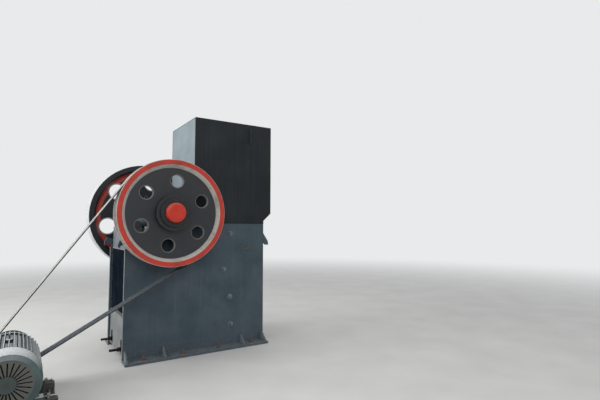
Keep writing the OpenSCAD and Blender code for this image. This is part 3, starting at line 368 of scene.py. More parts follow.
def wrappedBeltRubber(spec):
    # V-belts: black rubber in a woven wrap, scuffed grey in patches
    material, add = startMaterial("wrappedBeltRubber", **{"Specular IOR Level": 0.35})
    coords = add("TexCoord").outputs["Object"]
    geometry = add("NewGeometry")
    scuffs = add("TexNoise", {"Vector": coords, "Scale": perMetre(140), "Detail": 6, "Roughness": 0.7})
    scuffMask = add("MapRange", {"Value": scuffs, 1: 0.4, 2: 0.75, 4: 0.7})
    colour = add("MixRGB", {"Fac": scuffMask, "Color1": spec["base"], "Color2": spec["scuffed"]})
    # Stone dust lies on what faces up. Its pale tone on the backs of the upper run, against the darker one
    # inside the lower run, is partly a painted highlight: the upper run lit more from above
    slope = (motorPos - shaftPos).normalized()
    above = add("VectorMath", {0: coords, 1: (slope.z, 0, -slope.x)}, operation="DOT_PRODUCT")
    middle = shaftPos.x * slope.z - shaftPos.z * slope.x
    upper = add("MapRange", {"Value": above.outputs["Value"], 1: middle - 0.05, 2: middle + 0.05})
    dust = add("MixRGB", {"Fac": upper, "Color1": spec["lowerDust"], "Color2": spec["upperDustAndHighlight"]})
    facing = add("SeparateXYZ", {"Vector": geometry.outputs["Normal"]})
    up = add("MapRange", {"Value": facing.outputs["Z"], 1: 0.3, 2: 0.6, 4: 0.95})
    lain = add("MapRange", {"Value": scuffs, 1: 0.3, 2: 0.6, 3: 0.6, 4: 1.0})
    lying = add("Math", {0: up, 1: lain}, operation="MULTIPLY")
    colour = add("MixRGB", {"Fac": lying, "Color1": colour, "Color2": dust})
    rough = add("MapRange", {"Value": scuffMask, 3: 0.6, 4: 0.85})
    weave = add("TexNoise", {"Vector": coords, "Scale": perMetre(4), "Detail": 2})
    bump = add("Bump", {"Height": weave, "Strength": 0.2, "Distance": 0.001})
    joinLayers(material, **{"Base Color": colour, "Roughness": rough, "Normal": bump})
    return material


materials["manganese"] = manganeseCasting(manganeseSpec)
materials["beltRubber"] = wrappedBeltRubber(beltSpec)
print("steels and rubber made")

# Which finish each CAD node wears
nodeFinish = {
    "sidePlate": ["side_plate_near", "side_plate_far", "foot_near", "foot_far"],
    "frame": ["front_wall", "front_lugs", "rear_lugs", "bearing_seat_near", "bearing_seat_far",
              "bearing_housing_near", "bearing_housing_far", "swing_jaw"],
    "dustyAndLit": ["toggle_beam"],
    "hood": ["rear_hood"],
    "rearGuard": ["rear_guard"],
    "chute": ["chute_near", "chute_far", "chute_front", "chute_mouth_flange", "chute_top_flange"],
    "chuteRearLit": ["chute_rear"],
    "castGrey": ["bearing_cover_near", "bearing_cover_far", "fixed_jaw_clamp", "swing_jaw_clamp",
                 "toggle_plate", "toggle_seats", "adjusting_wedges", "slide_rail_near", "slide_rail_far",
                 "motor_fan", "motor_pulley"],
    "manganese": ["fixed_jaw_plate", "swing_jaw_plate", "cheek_plates"],
    "bearingSteel": ["main_bearing_near", "main_bearing_far", "eccentric_shaft", "motor_shaft"],
    "rodSteel": ["tension_rods", "tension_springs"],
    "beltRubber": ["v_belts"],
    "motor": ["motor_housing", "motor_end_shield", "motor_terminal_box"],
    "motorCowl": ["motor_fan_cowl"],
    "drive_sheave": ["drive_sheave"],
    "flywheel": ["flywheel"],
    "capRed": ["hub_caps"],
}
for finish, names in nodeFinish.items():
    for name in names:
        node = frame["nodes"][name]
        node.data.materials.clear()
        node.data.materials.append(materials[finish])
print("finishes set")


# Detail pieces, each one mesh riding a CAD body
def placeAt(at, axis, spin=0.0):
    # Frame with its Z along axis, at a point, turned by spin
    along = Vector(axis).to_track_quat("Z", "Y").to_matrix().to_4x4()
    return Matrix.Translation(at) @ along @ Matrix.Rotation(spin, 4, "Z")


def ringAngles(count, shift=0.0, first=0.0):
    # Equal steps round a circle, shifted by a share of one step
    return [2 * math.pi * (k + shift) / count + first for k in range(count)]


def roundAxle(centre, radius, angle, y):
    # Point at an angle round an axle that lies along Y
    return Vector((centre.x + radius * math.cos(angle), y, centre.z + radius * math.sin(angle)))


def joinRings(mesh, low, high):
    # Faces between two rings of as many points each
    count = len(low)
    return [mesh.faces.new((low[k], low[(k + 1) % count], high[(k + 1) % count], high[k]))
            for k in range(count)]


def turnProfile(mesh, place, profile, sides):
    # Revolves (radius, height) points round the frame's Z, and closes both ends
    angles = ringAngles(sides)
    rings = [[mesh.verts.new(place @ Vector((r * math.cos(angle), r * math.sin(angle), h)))
              for angle in angles] for r, h in profile]
    for low, high in zip(rings, rings[1:]):
        joinRings(mesh, low, high)
    mesh.faces.new(rings[0][::-1])
    mesh.faces.new(rings[-1])


fastenerSpec = {"sunk": 0.001, "washerBevel": 0.3, "cornerHeight": 0.86, "topShare": 0.485,
                "washerSides": 28, "studSides": 20, "studChamfer": 0.003}


def hexFastener(mesh, at, axis, spec, spin=0.0):
    # Washer, hexagon with its corners turned off, and the end of the bolt
    f = fastenerSpec
    place = placeAt(at, axis, spin)
    across, height = spec["across"], spec["height"]
    base = 0.0
    if "washer" in spec:
        edge, thick = spec["washer"] / 2, spec["washerThick"]
        bevel = thick * f["washerBevel"]
        disc = [(edge, -f["sunk"]), (edge, thick - bevel), (edge - bevel, thick)]
        turnProfile(mesh, place, disc, f["washerSides"])
        base = thick
    corner, top = across / math.sqrt(3), base + height
    shoulder = base + height * f["cornerHeight"]
    hexagon = [(corner, base - f["sunk"]), (corner, shoulder), (across * f["topShare"], top)]
    turnProfile(mesh, place, hexagon, 6)
    if "stud" in spec:
        r, end, chamfer = spec["stud"] / 2, top + spec["studOut"], f["studChamfer"]
        turnProfile(mesh, place, [(r, base), (r, end - chamfer), (r - chamfer, end)], f["studSides"])


def cutPlate(mesh, place, outline, thick, chamfer):
    # Plate of an outline in the frame's X-Y, its edges taken off
    low = [mesh.verts.new(place @ Vector((x, y, 0))) for x, y in outline]
    high = [mesh.verts.new(place @ Vector((x, y, thick))) for x, y in outline]
    faces = [mesh.faces.new(low[::-1]), mesh.faces.new(high)] + joinRings(mesh, low, high)
    edges = list(dict.fromkeys(edge for face in faces for edge in face.edges))
    bmesh.ops.bevel(mesh, geom=edges, offset=chamfer, segments=1, affect="EDGES", clamp_overlap=True)


def boxOutline(x0, y0, x1, y1):
    return [(x0, y0), (x1, y0), (x1, y1), (x0, y1)]


def sweepTube(mesh, points, radii, sides, closed=False):
    # Round section along a path of points. The radius is one number, or a list with one for each point
    points = [Vector(p) for p in points]
    count = len(points)
    angles = ringAngles(sides)
    rings = []
    side = None
    for k, point in enumerate(points):
        before = points[k - 1] if k or closed else point
        after = points[(k + 1) % count] if k < count - 1 or closed else point
        along = (after - before).normalized()
        if side is None:
            side = along.orthogonal().normalized()
        side = (side - along * side.dot(along)).normalized()
        other = along.cross(side)
        radius = radii[k] if isinstance(radii, list) else radii
        rings.append([mesh.verts.new(point + radius * (math.cos(angle) * side + math.sin(angle) * other))
                      for angle in angles])
    for k in range(count if closed else count - 1):
        joinRings(mesh, rings[k], rings[(k + 1) % count])
    if not closed:
        mesh.faces.new(rings[0][::-1])
        mesh.faces.new(rings[-1])


weldSpec = {"ripple": 0.011, "seed": 7, "valley": 0.82, "uneven": 0.06, "endShare": 0.5, "sides": 6}
weldRandom = random.Random(weldSpec["seed"])


def weldBead(mesh, start, end, radius):
    # Fillet weld laid by hand: a bead with ripples. They are about 2 mm apart in life, drawn at 11 mm so that
    # they show
    w = weldSpec
    start, end = Vector(start), Vector(end)
    count = max(3, round((end - start).length / w["ripple"] * 2))
    points = [start.lerp(end, k / count) for k in range(count + 1)]
    radii = [radius * ((1.0 if k % 2 else w["valley"]) + weldRandom.uniform(-w["uneven"], w["uneven"]))
             for k in range(count + 1)]
    radii[0] = radii[-1] = radius * w["endShare"]
    sweepTube(mesh, points, radii, w["sides"])


def makePiece(name, body, finish, build, smoothDegrees=35, stands=()):
    # Runs build on an empty mesh and makes an object that rides the body
    mesh = bmesh.new()
    build(mesh)
    bmesh.ops.recalc_face_normals(mesh, faces=mesh.faces)
    data = bpy.data.meshes.new(name)
    mesh.to_mesh(data)
    mesh.free()
    data.materials.append(materials[finish])
    piece = bpy.data.objects.new(name, data)
    scene.collection.objects.link(piece)
    data.shade_smooth()
    data.set_sharp_from_angle(angle=math.radians(smoothDegrees))
    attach(piece, body)
    if stands:
        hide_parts(*stands)


bothSides = (-1, 1)
frameLow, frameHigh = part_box("side_plate_near")
# Outer and inner face of the side plates
plateY = -frameLow.y
innerY = -frameHigh.y
rearX, frontX, mouthZ = frameLow.x, frameHigh.x, frameHigh.z
footTop = 0.040
guardLow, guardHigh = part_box("rear_guard")
beamLow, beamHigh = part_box("toggle_beam")
chuteLow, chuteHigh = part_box("chute_near")
seatLow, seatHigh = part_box("bearing_seat_near")
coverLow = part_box("bearing_cover_near")[0]

# Foundation nuts on the foot flanges, rusted brown
anchorSpec = {"x": (-0.9975, -0.3325, 0.3325, 0.9975), "y": 0.82,
              "nut": {"across": 0.065, "height": 0.034, "washer": 0.092, "washerThick": 0.008,
                      "stud": 0.042, "studOut": 0.02}}


def buildAnchors(mesh):
    for s in bothSides:
        for k, x in enumerate(anchorSpec["x"]):
            at = (x, s * anchorSpec["y"], footTop)
            hexFastener(mesh, at, (0, 0, 1), anchorSpec["nut"], spin=0.4 * k + s)


makePiece("anchorNuts", "frame", "rustySteel", buildAnchors)

# Cheek-plate bolts through the side plates, at the places seen in the photo, in the hood's paler paint
# The hood's finish on these bolts is pale partly from dust and partly a painted highlight
cheekSpec = {"at": ((0.58, 2.11), (0.46, 1.44), (0.59, 0.92), (0.61, 0.41)),
             "nut": {"across": 0.070, "height": 0.040, "washer": 0.110, "washerThick": 0.010,
                     "stud": 0.045, "studOut": 0.018}}


def buildCheekBolts(mesh):
    for s in bothSides:
        for k, (x, z) in enumerate(cheekSpec["at"]):
            hexFastener(mesh, (x, s * plateY, z), (0, s, 0), cheekSpec["nut"], spin=0.7 * k)


makePiece("cheekBolts", "frame", "hood", buildCheekBolts)

# Bare pad of thin plate in a paint of its own, a rivet in each corner
padSpec = {"middle": (0.94, 1.85), "size": (0.28, 0.08), "thick": 0.004, "chamfer": 0.001,
           "rivet": ((0.005, -0.001), (0.005, 0.001), (0.0035, 0.0025), (0.001, 0.003)), "rivetIn": 0.012}


def buildPad(mesh):
    p = padSpec
    x, z = p["middle"]
    w, h = p["size"][0] / 2, p["size"][1] / 2
    cutPlate(mesh, placeAt((x, -plateY, z), (0, -1, 0)), boxOutline(-w, -h, w, h), p["thick"], p["chamfer"])
    for i in bothSides:
        for j in bothSides:
            at = (x + i * (w - p["rivetIn"]), -plateY - p["thick"], z + j * (h - p["rivetIn"]))
            turnProfile(mesh, placeAt(at, (0, -1, 0)), p["rivet"], 12)


makePiece("sidePad", "frame", "pad", buildPad)

# Fillet welds of the frame: bead radii, and where the beads run
frameWelds = {
    "foot": 0.010, "gusset": 0.008, "rear": 0.009, "guard": 0.0063, "seat": 0.009, "seatRib": 0.0072,
    "frontHook": 0.009, "rearHook": 0.0072, "endIn": 0.01, "gussetIn": 0.005,
    "gussetX": (-1.265, -0.645, 0.82, 1.265), "gussetT": 0.030, "gussetH": 0.150, "footY": 0.915,
    "seatRibX": (-0.39, -0.15, 0.11, 0.35), "seatRibT": 0.04, "seatRibDrop": (0.05, 0.305),
    "hookIn": 0.030, "hookHalf": 0.025, "frontHookDrop": (0.430, 0.230),
    "rearHookX": (0.034, 0.128), "rearHookZ": (1.866, 1.988)}


def buildFrameWelds(mesh):
    w = frameWelds
    gap = w["endIn"]
    for s in bothSides:
        y = s * plateY
        weldBead(mesh, (rearX + gap, y, footTop), (frontX - gap, y, footTop), w["foot"])
        for x in w["gussetX"]:
            for t in bothSides:
                gx = x + t * w["gussetT"] / 2
                weldBead(mesh, (gx, y, footTop), (gx, y, footTop + w["gussetH"] - w["gussetIn"]), w["gusset"])
                weldBead(mesh, (gx, y, footTop), (gx, s * w["footY"] - s * gap, footTop), w["gusset"])
        # Rear: beam and guard to the side plates
        inner = s * innerY
        for low, high, bead in ((beamLow, beamHigh, w["rear"]), (guardLow, guardHigh, w["guard"])):
            weldBead(mesh, (low.x, inner, low.z + gap), (low.x, inner, high.z - gap), bead)
        # Bearing seat to the side plate, under its plate and down its ribs
        weldBead(mesh, (seatLow.x + gap, y, seatHigh.z), (seatHigh.x - gap, y, seatHigh.z), w["seat"])
        ribTop, ribLow = [seatHigh.z - drop for drop in w["seatRibDrop"]]
        for ribX in w["seatRibX"]:
            for edge in (0, w["seatRibT"]):
                x = shaftPos.x + ribX + edge
                weldBead(mesh, (x, y, ribTop), (x, y, ribLow), w["seatRib"])
        # Lifting hooks to the front edge and to the sloping rear edge
        hookLow, hookTop = [mouthZ - drop for drop in w["frontHookDrop"]]
        for t in bothSides:
            ly = s * (plateY - w["hookIn"]) + t * w["hookHalf"]
            weldBead(mesh, (frontX, ly, hookLow), (frontX, ly, hookTop), w["frontHook"])
            low, high = [(rearX + x, ly, z) for x, z in zip(w["rearHookX"], w["rearHookZ"])]
            weldBead(mesh, low, high, w["rearHook"])


makePiece("frameWelds", "frame", "frame", buildFrameWelds, smoothDegrees=80)

# Front wall: welds along its ribs and in their corners
frontSpec = {"ribFace": 1.105, "rows": 5, "rowT": 0.05, "lowZ": 0.33, "postT": 0.04, "postX": 1.245,
             "rowX": 1.285, "bead": 0.008, "endIn": 0.01, "rowIn": 0.005}


def buildFrontWelds(mesh):
    f = frontSpec
    face, bead = f["ribFace"], f["bead"]
    pitch = (mouthZ - f["rowT"] - f["lowZ"]) / (f["rows"] - 1)
    for k in range(f["rows"]):
        z = f["lowZ"] + k * pitch
        for edge in (z, z + f["rowT"]):
            if f["lowZ"] < edge < mouthZ:
                weldBead(mesh, (face, f["endIn"] - innerY, edge), (face, innerY - f["endIn"], edge), bead)
                for s in bothSides:
                    y = s * innerY
                    weldBead(mesh, (face, y, edge), (f["rowX"] - f["rowIn"], y, edge), bead)
    for middle in (-innerY / 2, 0, innerY / 2):
        for t in bothSides:
            y = middle + t * f["postT"] / 2
            for k in range(f["rows"] - 1):
                z = f["lowZ"] + k * pitch + f["rowT"]
                weldBead(mesh, (face, y, z), (face, y, z + pitch - f["rowT"]), bead)
                weldBead(mesh, (face, y, z), (f["postX"], y, z), bead)


makePiece("frontWelds", "frame", "frame", buildFrontWelds, smoothDegrees=80)
print("frame fasteners and welds made")

# Rear guard: painted screws down its edges, and a pale strip over its top, whose paleness is partly dust and
# partly a painted highlight
guardSpec = {"screw": {"across": 0.024, "height": 0.010, "washer": 0.034, "washerThick": 0.003},
             "edgeIn": 0.045, "rowZ": (0.86, 1.18, 1.50, 1.76),
             "stripH": 0.028, "stripT": 0.006, "stripIn": 0.005, "stripChamfer": 0.0015}


def buildGuardScrews(mesh):
    for s in bothSides:
        y = s * (innerY - guardSpec["edgeIn"])
        for k, z in enumerate(guardSpec["rowZ"]):
            hexFastener(mesh, (guardLow.x, y, z), (-1, 0, 0), guardSpec["screw"], spin=k)


def buildGuardStrip(mesh):
    g = guardSpec
    half = innerY - g["stripIn"]
    place = placeAt((guardLow.x, 0, guardHigh.z - g["stripH"]), (-1, 0, 0))
    cutPlate(mesh, place, boxOutline(-half, 0.0, half, g["stripH"]), g["stripT"], g["stripChamfer"])


makePiece("guardScrews", "frame", "rearGuard", buildGuardScrews)
makePiece("guardStrip", "frame", "dustyAndLit", buildGuardStrip)
print("guard dressed")

# Bearing housings: foot bolts, cover screws, an eyebolt and a grease nipple on each
housingSpec = {
    "foot": {"across": 0.046, "height": 0.024, "washer": 0.056, "washerThick": 0.005,
             "stud": 0.030, "studOut": 0.012},
    "footX": 0.3425, "footY": (0.72, 0.86), "footZ": 2.21,
    "cover": {"across": 0.030, "height": 0.0125}, "coverCount": 12, "coverR": 0.276,
    "eyeY": 0.78, "topZ": 0.315, "eyeRing": 0.030, "eyeWire": 0.009, "collarSunk": 0.004, "eyeUp": 0.024,
    "collar": ((0.036, 0), (0.036, 0.012), (0.022, 0.020), (0.018, 0.030)),
    "nippleX": 0.11, "nippleZ": 0.294, "nippleAxis": (0.35, 0, 0.94),
    "nipple": ((0.010, 0), (0.010, 0.014), (0.005, 0.016), (0.005, 0.024), (0.0075, 0.027), (0.0075, 0.031),
               (0.003, 0.034))}


def eyeRing(mesh, at, radius, wire, across):
    # Forged ring standing on a point, its plane holding the Z axis and the across direction
    centre = at + Vector((0, 0, radius + wire * 0.6))
    path = [centre + radius * (math.cos(angle) * Vector(across) + math.sin(angle) * Vector((0, 0, 1)))
            for angle in ringAngles(28)]
    sweepTube(mesh, path, wire, 10, closed=True)


def buildHousingBolts(mesh):
    h = housingSpec
    for s in bothSides:
        for i in bothSides:
            for k, y in enumerate(h["footY"]):
                at = (shaftPos.x + i * h["footX"], s * y, h["footZ"])
                hexFastener(mesh, at, (0, 0, 1), h["foot"], spin=0.9 * k + i)
        for angle in ringAngles(h["coverCount"], shift=0.5):
            at = roundAxle(shaftPos, h["coverR"], angle, -s * coverLow.y)
            hexFastener(mesh, at, (0, s, 0), h["cover"], spin=angle)


makePiece("housingBolts", "frame", "boltSteel", buildHousingBolts)


def buildHousingEyes(mesh):
    h = housingSpec
    for s in bothSides:
        y = s * h["eyeY"]
        top = Vector((shaftPos.x, y, shaftPos.z + h["topZ"]))
        turnProfile(mesh, placeAt(top - Vector((0, 0, h["collarSunk"])), (0, 0, 1)), h["collar"], 24)
        eyeRing(mesh, top + Vector((0, 0, h["eyeUp"])), h["eyeRing"], h["eyeWire"], (1, 0, 0))
        # Grease nipple beside it
        nipple = placeAt((shaftPos.x + h["nippleX"], y, shaftPos.z + h["nippleZ"]), h["nippleAxis"])
        turnProfile(mesh, nipple, h["nipple"], 12)


makePiece("housingEyes", "frame", "frame", buildHousingEyes)

# Red caps: a ring of socket screws on each
capSpec = {"height": 0.080, "count": 6, "ring": 0.139, "faceOut": 0.070, "lean": 0.42, "first": 0.3,
           "screw": ((0.009, -0.006), (0.009, 0.003), (0.0072, 0.005), (0.0045, 0.005), (0.00405, 0.001))}
hubOut = -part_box("hub_caps")[0].y - capSpec["height"]


def buildCapScrews(mesh):
    c = capSpec
    for s in bothSides:
        for angle in ringAngles(c["count"], first=c["first"]):
            at = roundAxle(shaftPos, c["ring"], angle, s * (hubOut + c["faceOut"]))
            axis = Vector((c["lean"] * math.cos(angle), s, c["lean"] * math.sin(angle)))
            turnProfile(mesh, placeAt(at, axis), c["screw"], 16)


makePiece("capScrews", "crusher_rotor", "boltSteel", buildCapScrews)

# Hubs: a ring of jacking screws round each cap
hubSpec = {"count": 12, "ring": 0.203, "screw": {"across": 0.024, "height": 0.012}}


def buildHubScrews(mesh):
    for s in bothSides:
        for angle in ringAngles(hubSpec["count"]):
            at = roundAxle(shaftPos, hubSpec["ring"], angle, s * hubOut)
            hexFastener(mesh, at, (0, s, 0), hubSpec["screw"], spin=angle)


makePiece("hubScrews", "crusher_rotor", "castGrey", buildHubScrews)
print("housings and hubs dressed")

# Tension gear: coil springs in the beam's pockets, and threads on the rods behind their nuts
tensionSpec = {"y": 0.43, "z": 0.165, "springR": 0.075, "wire": 0.012, "length": 0.150, "turns": 5,
               "start": 0.020, "turnSteps": 30, "rodR": 0.021, "threadPitch": 0.0045, "threadOut": 0.118,
               "threadIn": 0.002, "threadR": 0.0015, "threadSteps": 16}


def buildSprings(mesh):
    t = tensionSpec
    coilR = t["springR"] - t["wire"]
    x0 = beamLow.x + t["start"] + t["wire"]
    span = t["length"] - 2 * t["wire"]
    for s in bothSides:
        path = []
        for k in range(t["turnSteps"] * (t["turns"] + 2) + 1):
            turn = k / t["turnSteps"]
            # Closed end turns lie flat, the others climb
            climb = min(max((turn - 1) / t["turns"], 0.0), 1.0)
            angle = 2 * math.pi * turn
            path.append((x0 + span * climb, s * t["y"] + coilR * math.cos(angle),
                         t["z"] + coilR * math.sin(angle)))
        sweepTube(mesh, path, t["wire"], 10)


makePiece("coilSprings", "frame", "springBlack", buildSprings, smoothDegrees=60,
          stands=("tension_springs",))


def buildThreads(mesh):
    t = tensionSpec
    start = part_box("tension_rods")[0].x + t["threadIn"]
    steps = t["threadOut"] / t["threadPitch"] * t["threadSteps"]
    for s in bothSides:
        path = []
        for k in range(int(steps)):
            angle = 2 * math.pi * k / t["threadSteps"]
            path.append((start + t["threadOut"] * k / steps, s * t["y"] + t["rodR"] * math.cos(angle),
                         t["z"] + t["rodR"] * math.sin(angle)))
        sweepTube(mesh, path, t["threadR"], 4)


makePiece("rodThreads", "frame", "rodSteel", buildThreads, smoothDegrees=60)

# Chamber: bolts that hold the clamps of the jaw plates
clampSpec = {"bolt": {"across": 0.050, "height": 0.026, "washer": 0.066, "washerThick": 0.006,
                      "stud": 0.033, "studOut": 0.010},
             "rows": (-0.45, -0.15, 0.15, 0.45)}


def buildClampBolts(mesh):
    for node, facing in (("fixed_jaw_clamp", -1), ("swing_jaw_clamp", 1)):
        data = frame["nodes"][node].data
        # The face that looks into the chamber, found by its normal
        best = max(data.polygons, key=lambda face: face.area if face.normal.x * facing > 0.6 else 0)
        normal = best.normal.copy()
        middle = sum((data.vertices[k].co for k in best.vertices), Vector()) / len(best.vertices)
        low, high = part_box(node)
        # Slide along the slanted face to its middle height
        down = Vector((-normal.z, 0, normal.x)).normalized()
        slide = down * (((low.z + high.z) / 2 - middle.z) / down.z)
        for k, y in enumerate(clampSpec["rows"]):
            hexFastener(mesh, Vector((middle.x, y, middle.z)) + slide, normal, clampSpec["bolt"], spin=k)


makePiece("clampBolts", "frame", "boltSteel", buildClampBolts)
print("tension gear and chamber dressed")

# Chute: corner, rib and mouth welds, and screws in the skirts
chuteSpec = {"bead": 0.006, "ribBead": 0.0048, "cornerX": 0.001, "cornerIn": 0.012, "mouthUp": 0.012,
             "cornerEnd": 0.01, "ribEnd": 0.005, "mouthEnd": 0.005,
             "screw": {"across": 0.024, "height": 0.011, "washer": 0.032, "washerThick": 0.003},
             "skirtT": 0.008, "skirtZ": 2.329, "pitch": 0.19, "endIn": 0.05,
             "ribX": 0.99, "ribT": 0.010, "ribH": 0.310, "ribDrop": 0.070}


def buildChuteWelds(mesh):
    c = chuteSpec
    cornerX, mouthBeadZ = chuteLow.x + c["cornerX"], mouthZ + c["mouthUp"]
    ribLow = chuteHigh.z - c["ribDrop"] - c["ribH"]
    for s in bothSides:
        y = s * plateY
        cornerY = s * (plateY - c["cornerIn"])
        corner = [(cornerX, cornerY, z) for z in (chuteLow.z + c["cornerEnd"], chuteHigh.z - c["cornerEnd"])]
        weldBead(mesh, *corner, c["bead"])
        for x in (c["ribX"], c["ribX"] + c["ribT"]):
            rib = [(x, y, z) for z in (ribLow + c["ribEnd"], ribLow + c["ribH"] - c["ribEnd"])]
            weldBead(mesh, *rib, c["ribBead"])
        mouth = [(x, y, mouthBeadZ) for x in (chuteLow.x + c["mouthEnd"], frontX - c["mouthEnd"])]
        weldBead(mesh, *mouth, c["bead"])


makePiece("chuteWelds", "frame", "chute", buildChuteWelds, smoothDegrees=80)


def buildChuteScrews(mesh):
    # Along the skirts of the mouth flange, outside the side plates
    c = chuteSpec
    span = frontX - chuteLow.x - 2 * c["endIn"]
    count = int(span / c["pitch"]) + 1
    for s in bothSides:
        for k in range(count):
            at = (chuteLow.x + c["endIn"] + k * span / (count - 1), s * (plateY + c["skirtT"]), c["skirtZ"])
            hexFastener(mesh, at, (0, s, 0), c["screw"], spin=k)


makePiece("chuteScrews", "frame", "chute", buildChuteScrews)
print("chute dressed")

# Motor: eyebolt, shield bolts, cowl and lid screws, gland, foot bolts, rail bolts and adjusters
housingLow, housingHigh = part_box("motor_housing")
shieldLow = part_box("motor_end_shield")[0]
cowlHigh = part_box("motor_fan_cowl")[1]
boxLow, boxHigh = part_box("motor_terminal_box")
motorMidY = (housingLow.y + housingHigh.y) / 2
motorSpec = {
    "coreR": 0.300, "eyeRing": 0.032, "eyeWire": 0.010, "collarSunk": 0.010, "eyeUp": 0.052,
    "collar": ((0.040, 0), (0.040, 0.050), (0.036, 0.055), (0.020, 0.058), (0.017, 0.066)),
    "glandAt": (-0.04, -0.06, 0.010), "glandNut": ((0.030, -0.004), (0.030, 0.012)),
    "glandPlug": ((0.024, 0.010), (0.024, 0.034), (0.019, 0.042), (0.010, 0.044)),
    "shield": {"across": 0.019, "height": 0.009}, "shieldCount": 8, "shieldR": 0.315, "shieldIn": 0.030,
    "cowlCount": 8, "cowlR": 0.344, "cowlIn": 0.020,
    "cowlScrew": ((0.007, -0.003), (0.007, 0.001), (0.004, 0.0035), (0.001, 0.004)),
    "lid": {"across": 0.013, "height": 0.006, "washer": 0.018, "washerThick": 0.002}, "lidIn": 0.022,
    "foot": {"across": 0.036, "height": 0.019, "washer": 0.050, "washerThick": 0.005,
             "stud": 0.024, "studOut": 0.012},
    "footX": 0.305, "footY": 0.315, "footZ": 0.190,
    "rail": {"across": 0.030, "height": 0.017, "washer": 0.040, "washerThick": 0.004,
             "stud": 0.020, "studOut": 0.014},
    "railX": 0.465, "railY": 0.075, "railZ": 0.035,
    "stopX": 0.425, "stopZ": 0.143, "stopHalf": (0.018, 0.032), "stopH": 0.056, "stopChamfer": 0.003,
    "screwBack": 0.054, "screwZ": 0.171,
    "screw": ((0.0105, 0.0), (0.012, 0.003), (0.012, 0.116), (0.018, 0.118), (0.018, 0.128), (0.016, 0.130))}


def buildMotorBolts(mesh):
    m = motorSpec
    for angle in ringAngles(m["shieldCount"], shift=0.5):
        at = roundAxle(motorPos, m["shieldR"], angle, shieldLow.y + m["shieldIn"])
        hexFastener(mesh, at, (0, 1, 0), m["shield"], spin=angle)
    for angle in ringAngles(m["cowlCount"], shift=0.5):
        at = roundAxle(motorPos, m["cowlR"], angle, cowlHigh.y - m["cowlIn"])
        turnProfile(mesh, placeAt(at, (math.cos(angle), 0, math.sin(angle))), m["cowlScrew"], 12)
    for y in (boxLow.y + m["lidIn"], boxHigh.y - m["lidIn"]):
        for z in (boxLow.z + m["lidIn"], boxHigh.z - m["lidIn"]):
            hexFastener(mesh, (boxLow.x, y, z), (-1, 0, 0), m["lid"])
    for s in bothSides:
        for t in bothSides:
            y = motorMidY + t * m["footY"]
            hexFastener(mesh, (motorPos.x + s * m["footX"], y, m["footZ"]), (0, 0, 1), m["foot"], spin=s + t)
            for u in bothSides:
                at = (motorPos.x + s * m["railX"], y + u * m["railY"], m["railZ"])
                hexFastener(mesh, at, (0, 0, 1), m["rail"], spin=s + 2 * t + u)


makePiece("motorBolts", "frame", "boltSteel", buildMotorBolts)


def buildMotorFittings(mesh):
    m = motorSpec
    top = Vector((motorPos.x, motorMidY, motorPos.z + m["coreR"]))
    turnProfile(mesh, placeAt(top - Vector((0, 0, m["collarSunk"])), (0, 0, 1)), m["collar"], 28)
    eyeRing(mesh, top + Vector((0, 0, m["eyeUp"])), m["eyeRing"], m["eyeWire"], (0, 1, 0))
    # Gland under the terminal box, closed with a blind plug
    corner = Vector(((boxLow.x + boxHigh.x) / 2, motorMidY, boxLow.z))
    gland = placeAt(corner + Vector(m["glandAt"]), (0, 0, -1))
    turnProfile(mesh, gland, m["glandNut"], 6)
    turnProfile(mesh, gland, m["glandPlug"], 20)


makePiece("motorFittings", "frame", "motor", buildMotorFittings)


def buildRailAdjusters(mesh):
    # Stop with its adjusting screw at each end of the slide rails
    m = motorSpec
    w, h = m["stopHalf"]
    for s in bothSides:
        for t in bothSides:
            y = motorMidY + t * m["footY"]
            x = motorPos.x + s * m["stopX"]
            stop = placeAt((x, y, m["stopZ"]), (0, 0, 1))
            cutPlate(mesh, stop, boxOutline(-w, -h, w, h), m["stopH"], m["stopChamfer"])
            turnProfile(mesh, placeAt((x - s * m["screwBack"], y, m["screwZ"]), (s, 0, 0)), m["screw"], 6)


makePiece("railAdjusters", "frame", "boltSteel", buildRailAdjusters)

# Pulley: socket screws of its clamping bush
pulleySpec = {"count": 3, "ring": 0.080, "faceY": -1.095, "first": 0.5,
              "screw": ((0.012, -0.002), (0.012, 0.006), (0.010, 0.008), (0.006, 0.008), (0.005, 0.002))}


def buildBushScrews(mesh):
    p = pulleySpec
    for angle in ringAngles(p["count"], first=p["first"]):
        at = roundAxle(motorPos, p["ring"], angle, p["faceY"])
        turnProfile(mesh, placeAt(at, (0, -1, 0)), p["screw"], 16)


makePiece("bushScrews", "motor_rotor", "boltSteel", buildBushScrews)
print("motor dressed")

# Plain pale floor of floated concrete, its patches about a metre wide. Far out it fades into the background,
# so that no horizon shows
stageSpec = {"half": 60.0, "colour": "#C6C5C1", "patch": "#CFCECA", "patchMm": 900, "background": "#E9EAEB",
             "fadeFrom": 7.0, "fadeTo": 26.0, "light": "#F4F7FB", "lightStrength": 0.62}
floorMesh = bpy.data.meshes.new("floor")
half = stageSpec["half"]
floorMesh.from_pydata([(x, y, -0.001) for x, y in boxOutline(-half, -half, half, half)], [], [(0, 1, 2, 3)])
floor = bpy.data.objects.new("floor", floorMesh)
scene.collection.objects.link(floor)
floorMaterial, addFloor = startMaterial("floatedConcrete", Roughness=0.85)
floorNodes = floorMaterial.node_tree.nodes
floorCoords = addFloor("TexCoord").outputs["Object"]
floorNoise = addFloor("TexNoise", {
    "Vector": floorCoords, "Scale": perMetre(stageSpec["patchMm"]), "Detail": 6})
floorMask = addFloor("MapRange", {"Value": floorNoise, 1: 0.3, 2: 0.7})
floorColour = addFloor("MixRGB", {
    "Fac": floorMask, "Color1": stageSpec["colour"], "Color2": stageSpec["patch"]})
joinLayers(floorMaterial, **{"Base Color": floorColour})
distance = addFloor("VectorMath", {0: floorCoords}, operation="LENGTH")
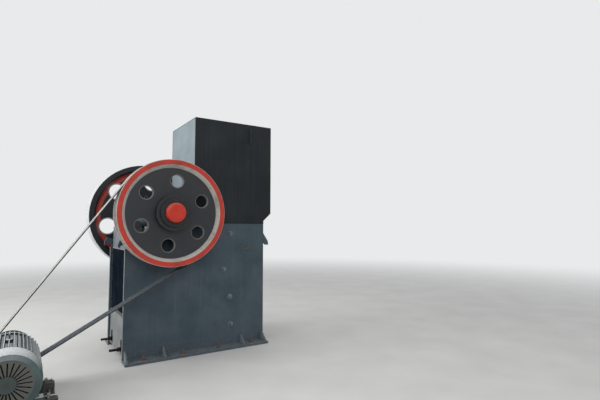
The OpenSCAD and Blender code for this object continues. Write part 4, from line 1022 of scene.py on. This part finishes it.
fade = addFloor("MapRange", {
    "Value": distance.outputs["Value"], 1: stageSpec["fadeFrom"], 2: stageSpec["fadeTo"]},
    interpolation_type="SMOOTHSTEP")
floorRays = addFloor("LightPath").outputs
seenFloor = addFloor("Math", {
    0: floorRays["Is Camera Ray"], 1: floorRays["Is Glossy Ray"]}, operation="MAXIMUM")
fadeSeen = addFloor("Math", {0: fade, 1: seenFloor}, operation="MULTIPLY")
glow = addFloor("Emission", {"Color": stageSpec["background"], "Strength": 1.0})
floorMix = addFloor("MixShader", {0: fadeSeen, 1: floorNodes["Principled BSDF"], 2: glow})
floorMaterial.node_tree.links.new(floorMix.outputs[0], floorNodes["Material Output"].inputs["Surface"])
floorMesh.materials.append(floorMaterial)

# Soft studio light: a pale world, a large lamp from the rear left, a fill on the camera's side, one above
world = bpy.data.worlds.new("studio")
scene.world = world
world.use_nodes = True
worldTree = world.node_tree
addWorld = partial(addNode, worldTree)
background = worldTree.nodes["Background"]
worldRays = addWorld("LightPath").outputs
seen = addWorld("Math", {
    0: worldRays["Is Camera Ray"], 1: worldRays["Is Glossy Ray"]}, operation="MAXIMUM")
worldColour = addWorld("MixRGB", {
    "Fac": seen, "Color1": stageSpec["light"], "Color2": stageSpec["background"]})
worldTree.links.new(worldColour.outputs[0], background.inputs["Color"])
worldStrength = addWorld("MapRange", {"Value": seen, 3: stageSpec["lightStrength"], 4: 1.0})
worldTree.links.new(worldStrength.outputs[0], background.inputs["Strength"])

lampSpecs = {
    "windowLamp": {"at": (-11.0, 2.0, 6.5), "aim": (-0.5, 0.0, 2.0), "size": 7.0, "watts": 900},
    "cameraFill": {"at": (-3.0, -11.0, 7.0), "aim": (0.0, 0.0, 1.5), "size": 6.0, "watts": 260},
    "topLamp": {"at": (1.0, 1.0, 11.0), "aim": (0.0, 0.0, 2.0), "size": 6.0, "watts": 260},
}
for name, spec in lampSpecs.items():
    lampData = bpy.data.lights.new(name, "AREA")
    lampData.shape = "SQUARE"
    lampData.size = spec["size"]
    lampData.energy = spec["watts"]
    lamp = bpy.data.objects.new(name, lampData)
    lamp.location = spec["at"]
    lamp.rotation_euler = (Vector(spec["aim"]) - Vector(spec["at"])).to_track_quat("-Z", "Y").to_euler()
    scene.collection.objects.link(lamp)
print("stage and lamps set")
